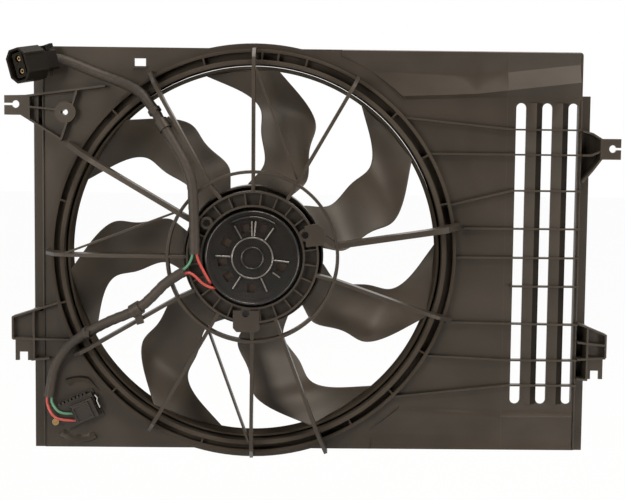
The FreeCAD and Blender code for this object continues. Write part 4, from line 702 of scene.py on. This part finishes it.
@dataclass
class FanWheel:
    """Hub, seven blades and the ring round them. Millimetres and degrees."""

    hub_wall: float = 2.5
    hub_bore: float = 8.03
    hub_edge: float = 0.5
    hub_steps: int = 192
    disc_front: float = -31.0
    disc_rear: float = -28.0
    shoulder: float = 2.0
    shoulder_bulge: float = 0.6
    boss: float = 13.0
    boss_rise: float = 3.0
    rib_count: int = 14
    rib_width: float = 2.0
    rib_rise: float = 4.0
    rib_root: float = 1.0
    rib_end: float = 6.0
    ring_wall: float = 2.5
    ring_edge: float = 0.7
    ring_steps: int = 240
    flange_reach: float = 1.25
    flange_thick: float = 2.0
    lip_reach: float = 0.75
    blade_count: int = 7
    camber: float = 3.5
    edge_thick: float = 1.3
    chord_points: int = 9
    smoothing: int = 2
    # radius, clockwise edge angle, anticlockwise edge angle, their depths, thickness
    stations: tuple[tuple[float, ...], ...] = (
        (78.5, 58.0, 96.5, -58.7, -32.2, 3.4),
        (83.0, 57.0, 94.0, -58.0, -31.5, 3.4),
        (92.0, 55.2, 87.5, -55.5, -29.0, 3.2),
        (103.0, 53.6, 83.4, -51.5, -25.0, 3.0),
        (115.0, 56.6, 84.2, -47.0, -20.5, 2.9),
        (127.0, 60.6, 86.0, -43.5, -16.5, 2.8),
        (141.0, 63.1, 87.6, -41.0, -13.5, 2.7),
        (157.0, 63.3, 87.2, -40.0, -11.5, 2.6),
        (168.0, 64.9, 87.8, -39.5, -11.0, 2.5),
        (179.0, 69.0, 90.9, -39.0, -10.5, 2.4),
        (190.0, 74.0, 96.0, -38.5, -10.0, 2.3),
        (201.0, 78.8, 101.5, -38.0, -10.0, 2.3),
        (212.2, 82.6, 105.8, -37.6, -10.0, 2.3),
    )

    def build(self, shop: Workshop) -> None:
        """Build the hub, the ring and the blades.

        Args:
            shop: Finishes and body links.
        """
        self._hub(shop)
        self._ring(shop)
        for index in range(self.blade_count):
            self._blade(shop, index)

    def _hub(self, shop: Workshop) -> None:
        """Cup over the motor, with ribs behind its disc.

        Args:
            shop: Finishes and body links.
        """
        low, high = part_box("fan_hub")
        radius, boss_rear = high.x / MM, high.y / MM
        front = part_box("hub_skirt")[0].y / MM
        boss_front = self.disc_front - self.boss_rise
        inner = radius - self.hub_wall
        shape = bmesh.new()
        ring_section(shape, (
            (radius, front), (radius, self.disc_rear - self.shoulder),
            (radius - self.shoulder_bulge, self.disc_rear - self.shoulder_bulge),
            (radius - self.shoulder, self.disc_rear), (self.boss, self.disc_rear), (self.boss, boss_rear),
            (self.hub_bore, boss_rear), (self.hub_bore, boss_front), (self.boss, boss_front),
            (self.boss, self.disc_front), (inner, self.disc_front), (inner, front)), self.hub_steps)
        round_edges(shape, self.hub_edge * MM)
        for index in range(self.rib_count):
            block(shape, (self.boss - self.rib_root, self.disc_rear - self.rib_root, -self.rib_width / 2),
                  (radius - self.rib_end, self.disc_rear + self.rib_rise, self.rib_width / 2),
                  index * 360.0 / self.rib_count)
        shop.place("hub_cup", shape, "fan_plastic", Rides.ROTOR, ("fan_hub", "hub_skirt"))

    def _ring(self, shop: Workshop) -> None:
        """Band that joins the blade tips.

        Args:
            shop: Finishes and body links.
        """
        low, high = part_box("fan_ring")
        flange, front, rear = high.x / MM + self.lip_reach, low.y / MM, high.y / MM
        outer = flange - self.flange_reach - self.lip_reach
        inner = outer - self.ring_wall
        shape = bmesh.new()
        ring_section(shape, (
            (outer, front), (outer, rear - self.flange_thick), (flange, rear - self.flange_thick),
            (flange, rear), (inner, rear), (inner, front)), self.ring_steps)
        round_edges(shape, self.ring_edge * MM)
        piece = shop.place("fan_band", shape, MATT_BAND.slot, Rides.ROTOR, ("fan_ring",))
        shop.vary(piece, MATT_BAND)

    def _section(self, station: tuple[float, ...]) -> list[Vector]:
        """Closed outline of the blade at one station.

        Args:
            station: Radius, edge angles, edge depths and thickness.

        Returns:
            Corners of the outline, in metres.
        """
        radius, low, high, low_y, high_y, thick = station
        arc = radius * math.radians(high - low)
        rise = high_y - low_y
        length = math.hypot(arc, rise)
        sides: list[list[Vector]] = []
        for side in (1, -1):
            row = []
            for step in range(self.chord_points):
                share = 0.5 - 0.5 * math.cos(math.pi * step / (self.chord_points - 1))
                bow = 4.0 * share * (1.0 - share)
                half = (self.edge_thick + (thick - self.edge_thick) * math.sqrt(bow)) / 2 * side
                turn = math.radians(low + (high - low) * share) - half * rise / length / radius
                depth = low_y + rise * share + self.camber * bow + half * arc / length
                row.append(Vector((radius * math.cos(turn), depth, radius * math.sin(turn))) * MM)
            sides.append(row)
        return sides[0] + sides[1][::-1]

    def _blade(self, shop: Workshop, index: int) -> None:
        """One blade, bridged from section to section.

        Args:
            shop: Finishes and body links.
            index: Number of the blade, from 0.
        """
        shape = bmesh.new()
        crease = shape.edges.layers.float.new("crease_edge")
        loops = []
        for station in self.stations:
            corners = [shape.verts.new(place) for place in self._section(station)]
            loops.append([shape.edges.new(pair) for pair in zip(corners, corners[1:] + corners[:1])])
        for before, after in zip(loops, loops[1:]):
            bmesh.ops.bridge_loops(shape, edges=before + after)
        ends = loops[0] + loops[-1]
        bmesh.ops.holes_fill(shape, edges=ends, sides=0)
        for edge in ends:
            edge[crease] = 1.0
        bmesh.ops.rotate(shape, verts=shape.verts, cent=(0, 0, 0),
                         matrix=Matrix.Rotation(index * FULL_TURN / self.blade_count, 3, FAN_AXIS))
        name = f"blade_{index + 1}"
        blade = shop.place(name, shape, "fan_plastic", Rides.ROTOR, ("fan_" + name,))
        smooth = blade.modifiers.new("smooth", "SUBSURF")
        smooth.levels = smooth.render_levels = self.smoothing


@dataclass
class Motor:
    """The motor's shell, with glossy beads on its cap's raised lines; those on the ribs and the boss ring
    have a painted highlight. Millimetres and degrees.
    """

    edge_widths: dict[str, float] = field(default_factory=lambda: {
        "motor_end_cap": 0.8, "motor_can": 0.6,
    })
    cap_front: float = -95.0
    rib_angles: tuple[float, ...] = (177, 119, 91.0, 85.0, 55, -6, -66, -122)
    rib_span: tuple[float, float] = (24.5, 41.0)
    rib_rise: float = 1.8
    short_angle: float = -35
    short_span: tuple[float, float] = (28.0, 38.0)
    arc_radius: float = 45.7
    arc_span: tuple[float, float] = (57.0, 120.0)
    arc_sink: float = 0.8
    arc_steps: int = 24
    bead_radius: float = 0.95
    bead_sides: int = 12
    # radius, depth and bulge of the round beads
    boss_bead: tuple[float, float, float] = (22.7, -97.4, 1.0)
    nose_bead: tuple[float, float, float] = (12.0, -98.0, 0.8)
    rim_bead: tuple[float, float, float] = (51.6, -95.0, 0.9)
    ring_sink: float = 0.35
    ring_steps: int = 120

    def build(self, shop: Workshop) -> None:
        """Soften the shell, then lay the beads with a painted highlight and the black ones.

        Args:
            shop: Finishes and body links.
        """
        shop.soften_all(self.edge_widths)
        crest = self.cap_front - self.rib_rise
        highlit = bmesh.new()
        ribs = [(angle, self.rib_span) for angle in self.rib_angles]
        for angle, span in ribs + [(self.short_angle, self.short_span)]:
            self._bead(highlit, [self._polar(radius, angle, crest) for radius in span])
        self._ring(highlit, *self.boss_bead)
        ride = Rides(shop.bodies["motor_end_cap"])
        # these beads take the paler enamel as a painted highlight
        shop.vary(shop.place("cap_highlight_beads", highlit, BEAD_PAINTED_HIGHLIGHT.slot, ride), BEAD_PAINTED_HIGHLIGHT)
        black = bmesh.new()
        low, high = self.arc_span
        self._bead(black, [self._polar(self.arc_radius, low + (high - low) * step / self.arc_steps,
                                       crest + self.arc_sink) for step in range(self.arc_steps + 1)])
        self._ring(black, *self.nose_bead)
        self._ring(black, *self.rim_bead)
        shop.place("cap_black_beads", black, BEAD_PAINTED_HIGHLIGHT.slot, ride)

    def _ring(self, shape: bmesh.types.BMesh, radius: float, front: float, bulge: float) -> None:
        """One round bead about the axis.

        Args:
            shape: Mesh that the bead is added to.
            radius: Radius of the line that it follows.
            front: Depth of the face that it lies on.
            bulge: Radius of the bead itself.
        """
        turns = [FULL_TURN * step / self.bead_sides for step in range(self.bead_sides)]
        outline = [(radius + bulge * math.cos(turn), front + self.ring_sink + bulge * math.sin(turn))
                   for turn in turns]
        ring_section(shape, outline, self.ring_steps)

    def _bead(self, shape: bmesh.types.BMesh, places: Sequence[Vector]) -> None:
        """One bead along a line."""
        sleeve(shape, places, self.bead_sides, lambda travelled, turn: self.bead_radius * MM)

    @staticmethod
    def _polar(radius: float, angle: float, depth: float) -> Vector:
        """Point at a radius and an angle, in metres."""
        turn = math.radians(angle)
        return Vector((radius * math.cos(turn), depth, radius * math.sin(turn))) * MM


@dataclass
class Connector:
    """Harness connector with its lock lever and the foot that carries it. Millimetres."""

    edge_widths: dict[str, float] = field(default_factory=lambda: {
        "connector_carrier": 0.5, "connector_housing": 0.4, "connector_latch": 0.3,
    })

    def build(self, shop: Workshop) -> None:
        """Soften each solid."""
        shop.soften_all(self.edge_widths)


@dataclass
class Resistor:
    """Base and plug of the resistor, in a paler nylon than the connector's. Millimetres."""

    edge_widths: dict[str, float] = field(default_factory=lambda: {
        "resistor_base": 0.3, "resistor_plug": 0.5,
    })

    def build(self, shop: Workshop) -> None:
        """Soften each solid and give it its own nylon."""
        for piece in shop.soften_all(self.edge_widths):
            shop.vary(piece, RESISTOR_NYLON)


class Route:
    """A cord's line: one smooth spline through the points of its route."""

    def __init__(self, name: str, places: Sequence[Point]) -> None:
        """Build the spline.

        Args:
            name: Name for its curve.
            places: Control points, in millimetres.
        """
        self.curve = bpy.data.curves.new(name, "CURVE")
        self.curve.dimensions = "3D"
        spline = self.curve.splines.new("NURBS")
        spline.points.add(len(places) - 1)
        for point, place in zip(spline.points, places):
            point.co = (*(Vector(place) * MM), 1.0)
        spline.order_u = 3
        spline.use_endpoint_u = True
        spline.resolution_u = SPAN_POINTS

    def line(self) -> list[Vector]:
        """Read points along the spline from the curve without a bevel.

        Returns:
            The points, in metres.
        """
        holder = new_object("route", self.curve)
        bpy.context.view_layer.update()
        mesh = bpy.data.meshes.new_from_object(holder)
        points = [vertex.co.copy() for vertex in mesh.vertices]
        bpy.data.objects.remove(holder)
        bpy.data.meshes.remove(mesh)
        return points


def even_points(points: Sequence[Vector], step: float) -> list[Vector]:
    """Points spaced evenly along a line.

    Args:
        points: The line.
        step: Wanted spacing, in metres.

    Returns:
        Evenly spaced points, with both ends kept.
    """
    lengths = [0.0]
    for before, after in zip(points, points[1:]):
        lengths.append(lengths[-1] + (after - before).length)
    count = max(2, round(lengths[-1] / step))
    found, span = [], 0
    for index in range(count + 1):
        target = lengths[-1] * index / count
        while span < len(points) - 2 and lengths[span + 1] < target:
            span += 1
        share = (target - lengths[span]) / (lengths[span + 1] - lengths[span])
        found.append(points[span].lerp(points[span + 1], share))
    return found


def sleeve(shape: bmesh.types.BMesh, points: Sequence[Vector], sides: int,
           radius_at: Callable[[float, float], float]) -> None:
    """Add a closed tube round a line, without twist.

    Args:
        shape: Mesh that the tube is added to.
        points: Centre line, evenly spaced.
        sides: Points round the tube.
        radius_at: Radius for a length along the line, in metres, and a share of a turn.
    """
    heading = (points[1] - points[0]).normalized()
    across = heading.orthogonal().normalized()
    before: list[bmesh.types.BMEdge] = []
    travelled = 0.0
    for index, centre in enumerate(points):
        if index:
            travelled += (centre - points[index - 1]).length
            ahead = points[min(index + 1, len(points) - 1)] - points[index - 1]
            new_heading = ahead.normalized()
            across = heading.rotation_difference(new_heading) @ across
            heading = new_heading
        other = heading.cross(across)
        place = Matrix((across, other, heading)).transposed().to_4x4()
        place.translation = centre
        ring = bmesh.ops.create_circle(shape, cap_ends=False, radius=1.0, segments=sides,
                                       matrix=place)["verts"]
        for number, vertex in enumerate(ring):
            outward = (vertex.co - centre).normalized()
            vertex.co = centre + outward * radius_at(travelled, number / sides)
        edges = list({edge for vertex in ring for edge in vertex.link_edges})
        if before:
            bmesh.ops.bridge_loops(shape, edges=before + edges)
        else:
            bmesh.ops.holes_fill(shape, edges=edges, sides=0)
        before = edges
    bmesh.ops.holes_fill(shape, edges=before, sides=0)


@dataclass
class Wiring:
    """Two taped looms and five single wires, with their clips and ties. Millimetres."""

    edge_widths: dict[str, float] = field(default_factory=lambda: {
        "upper_loom_clip": 0.4, "lower_loom_clip": 0.4, "cable_ties": 0.2,
    })
    loom_radius: float = 6.0
    loom_sides: int = 24
    loom_step: float = 1.4
    tape_pitch: float = 11.0
    tape_step: float = 0.45
    wire_radius: float = 1.55
    wire_sides: int = 20
    wire_step: float = 0.7
    looms: dict[str, tuple[Point, ...]] = field(default_factory=lambda: {
        "upper_loom": (
            (-238.9, -43.9, 219.5), (-229.6, -35.2, 222.0), (-218.0, -31.0, 219.5),
            (-204.0, -31.0, 214.5), (-186.0, -31.0, 207.0), (-165.0, -33.5, 199.5),
            (-146.0, -44.0, 192.5), (-129.0, -57.5, 183.5), (-116.5, -67.0, 170.0),
            (-106.5, -73.5, 154.5), (-96.0, -80.0, 138.5), (-85.0, -87.0, 121.0), (-74.5, -94.5, 104.0),
            (-67.0, -97.5, 84.0), (-65.5, -97.5, 58.0), (-64.5, -97.5, 30.0), (-64.3, -97.5, 4.0)),
        "lower_loom": (
            (-76.0, -97.5, -16.0), (-94.0, -97.4, -26.0), (-108.0, -95.5, -41.0),
            (-121.5, -91.5, -54.5), (-138.0, -86.5, -65.0), (-158.0, -79.5, -73.0),
            (-178.0, -69.5, -84.0), (-199.0, -59.5, -97.0), (-217.0, -44.0, -112.0),
            (-229.5, -34.0, -130.5), (-235.5, -31.0, -150.5), (-238.0, -30.8, -171.0)),
    })
    wires: dict[str, tuple[Point, ...]] = field(default_factory=lambda: {
        "green_link_wire": (
            (-66.9, -97.5, 4.0), (-66.9, -97.5, -1.0), (-72.9, -97.5, -11.3), (-77.3, -97.5, -13.7)),
        "red_supply_wire": (
            (-61.7, -97.5, 4.0), (-61.7, -97.5, -1.0), (-51.5, -98.6, -19.5), (-46.2, -97.0, -29.4),
            (-46.2, -84.0, -29.4)),
        "red_return_wire": (
            (-74.7, -97.5, -18.3), (-70.4, -97.5, -15.8), (-62.5, -98.6, -21.5), (-54.5, -98.8, -30.0),
            (-42.2, -97.0, -34.8), (-42.2, -84.0, -34.8)),
        "resistor_red_wire": (
            (-240.6, -30.8, -170.7), (-241.2, -30.8, -175.6), (-239.0, -33.5, -183.5),
            (-233.5, -36.0, -193.0), (-223.5, -37.3, -198.0), (-203.0, -37.5, -197.8)),
        "resistor_green_wire": (
            (-235.4, -30.8, -171.3), (-236.0, -30.8, -176.3), (-232.5, -35.0, -181.5),
            (-226.5, -36.8, -188.2), (-217.0, -37.3, -190.3), (-200.0, -37.5, -189.0)),
    })

    def build(self, shop: Workshop) -> None:
        """Soften the clips and ties, wrap both looms and lay the single wires.

        Args:
            shop: Finishes and body links.
        """
        shop.soften_all(self.edge_widths)
        for name, places in self.looms.items():
            shape = bmesh.new()
            line = even_points(Route(name, places).line(), self.loom_step * MM)
            sleeve(shape, line, self.loom_sides, self._tape_radius)
            shop.place(name + "_sleeve", shape, "loom_sleeve", Rides.SHROUD, (name,))
        for name, places in self.wires.items():
            shape = bmesh.new()
            line = even_points(Route(name, places).line(), self.wire_step * MM)
            sleeve(shape, line, self.wire_sides, lambda travelled, turn: self.wire_radius * MM)
            shop.place(name + "_insulation", shape, shop.slots[name], Rides.SHROUD, (name,))

    def _tape_radius(self, travelled: float, turn: float) -> float:
        """Radius of the half-lapped tape at one place, in metres."""
        lap = (travelled / (self.tape_pitch * MM) + turn) % 1.0
        return (self.loom_radius - self.tape_step * (1.0 - lap)) * MM


@dataclass(frozen=True)
class Lamp:
    """A square soft lamp. Metres and watts."""

    name: str
    place: Point
    size: float
    power: float

    def hang(self, colour: Colour, target: Point) -> None:
        """Hang the lamp so that it faces its target.

        Args:
            colour: Colour of its light.
            target: Point that it faces.
        """
        data = bpy.data.lights.new(self.name, "AREA")
        data.shape = "SQUARE"
        data.size = self.size
        data.energy = self.power
        data.color = colour
        lamp = new_object(self.name, data)
        lamp.location = self.place
        ahead = Vector(target) - Vector(self.place)
        lamp.rotation_euler = ahead.to_track_quat("-Z", "Y").to_euler()


@dataclass
class Studio:
    """Camera, lights, pale floor and white surroundings. Metres and degrees."""

    camera_place: Point = (0.0426, -1.6018, 0.1363)
    focal_pixels: float = 1355.1
    image_width: int = 625
    sensor_width: float = 36.0
    clip_range: tuple[float, float] = (0.05, 50.0)
    yaw: float = 0.93
    pitch: float = 4.81
    roll: float = 0.63
    floor_height: float = -0.45
    floor_reach: float = 12.0
    floor_tone: Colour = (0.92, 0.92, 0.92)
    floor_white: float = 0.97
    ambient: float = 0.20
    warmth: Colour = (1.0, 0.89, 0.76)
    wall_place: Point = (0.0, -2.9, 0.6)
    wall_reach: float = 2.2
    wall_tone: Colour = (0.02, 0.02, 0.02)
    lamp_target: Point = (0.06, 0.0, 0.0)
    lamps: tuple[Lamp, ...] = (
        Lamp("key", (0.3, -1.0, 3.2), 1.1, 82.0),
        Lamp("front", (-1.1, -2.0, 0.4), 0.8, 24.0),
        Lamp("left", (-1.5, -1.0, -0.1), 0.6, 8.0),
        Lamp("right", (0.9, -1.6, 1.7), 0.6, 22.0),
        Lamp("low", (1.2, -1.2, -0.38), 0.5, 14.0),
        Lamp("rear", (0.4, 1.6, 1.2), 1.5, 10.0),
    )

    def build(self) -> None:
        """Set the whole stage."""
        self._camera()
        self._world()
        self._floor()
        self._dark_wall()
        for lamp in self.lamps:
            lamp.hang(self.warmth, self.lamp_target)
        bpy.context.scene.view_settings.view_transform = "Standard"

    def _camera(self) -> None:
        """Camera at the photograph's place and angle."""
        yaw, pitch, roll = (math.radians(angle) for angle in (self.yaw, self.pitch, self.roll))
        level = math.cos(pitch)
        ahead = Vector((math.sin(yaw) * level, math.cos(yaw) * level, -math.sin(pitch)))
        right = Vector((math.cos(yaw), -math.sin(yaw), 0.0))
        above = right.cross(ahead)
        turned_right = right * math.cos(roll) + above * math.sin(roll)
        turned_above = above * math.cos(roll) - right * math.sin(roll)
        pose = Matrix((turned_right, turned_above, -ahead)).transposed().to_4x4()
        pose.translation = self.camera_place
        data = bpy.data.cameras.new("camera")
        data.sensor_width = self.sensor_width
        data.lens = self.sensor_width * self.focal_pixels / self.image_width
        data.clip_start, data.clip_end = self.clip_range
        camera = new_object("camera", data)
        camera.matrix_world = pose
        bpy.context.scene.camera = camera

    @staticmethod
    def _seen_white(sheet: NodeSheet) -> bpy.types.NodeSocket:
        """Mask of the rays that see the surroundings as plain white.

        Args:
            sheet: Sheet to add it to.

        Returns:
            The mask.
        """
        path = sheet.add("LightPath")
        seen = sheet.maths("MAXIMUM", path.outputs["Is Camera Ray"], path.outputs["Is Glossy Ray"])
        return sheet.maths("MAXIMUM", seen, path.outputs["Is Transmission Ray"])

    def _world(self) -> None:
        """White to the eye, softer as a light."""
        world = bpy.data.worlds.new("studio")
        bpy.context.scene.world = world
        world.use_nodes = True
        sheet = NodeSheet(world.node_tree)
        soft = sheet.add("Background", Color=rgba(self.warmth), Strength=self.ambient)
        white = sheet.add("Background", Color=rgba(WHITE), Strength=1.0)
        sheet.show(sheet.blend(self._seen_white(sheet), soft, white), "OutputWorld")

    def _floor(self) -> None:
        """Pale floor well below the fan."""
        material, sheet = blank_material("pale_floor")
        matt = sheet.add("BsdfDiffuse", Color=rgba(self.floor_tone))
        white = sheet.add("Emission", Color=rgba(WHITE), Strength=1.0)
        share = sheet.maths("MULTIPLY", self._seen_white(sheet), self.floor_white)
        sheet.show(sheet.blend(share, matt, white))
        pose = Matrix.Translation((0.0, 0.0, self.floor_height))
        self._stand("floor", self.floor_reach, pose, material)

    def _dark_wall(self) -> None:
        """Dark wall behind the camera, so that surfaces that face it mirror no white."""
        material, sheet = blank_material("dark_cloth")
        cloth = sheet.add("BsdfDiffuse", Color=rgba(self.wall_tone))
        clear = sheet.add("BsdfTransparent", Color=rgba(WHITE))
        path = sheet.add("LightPath")
        sheet.show(sheet.blend(path.outputs["Is Camera Ray"], cloth, clear))
        pose = Matrix.Translation(self.wall_place) @ Matrix.Rotation(math.pi / 2, 4, "X")
        self._stand("dark_wall", self.wall_reach, pose, material)

    @staticmethod
    def _stand(name: str, reach: float, pose: Matrix, material: bpy.types.Material) -> None:
        """Stand a flat sheet on the stage.

        Args:
            name: Name of the sheet.
            reach: Half of its width.
            pose: Its place and turn.
            material: What it is made of.
        """
        shape = bmesh.new()
        bmesh.ops.create_grid(shape, x_segments=1, y_segments=1, size=reach, matrix=pose)
        mesh = to_mesh(shape, name)
        mesh.materials.append(material)
        new_object(name, mesh)


def main() -> None:
    """Load the frame, set the stage and build every piece."""
    logging.basicConfig(level=logging.INFO, format="%(name)s: %(message)s")
    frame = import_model()
    Studio().build()
    shop = Workshop(frame["nodes"], frame["record"])
    shop.dress_solids()
    for assembly in (Shroud(), Barrel(), FanWheel(), Motor(), Connector(), Resistor(), Wiring()):
        assembly.build(shop)


if __name__ == "__main__":
    main()
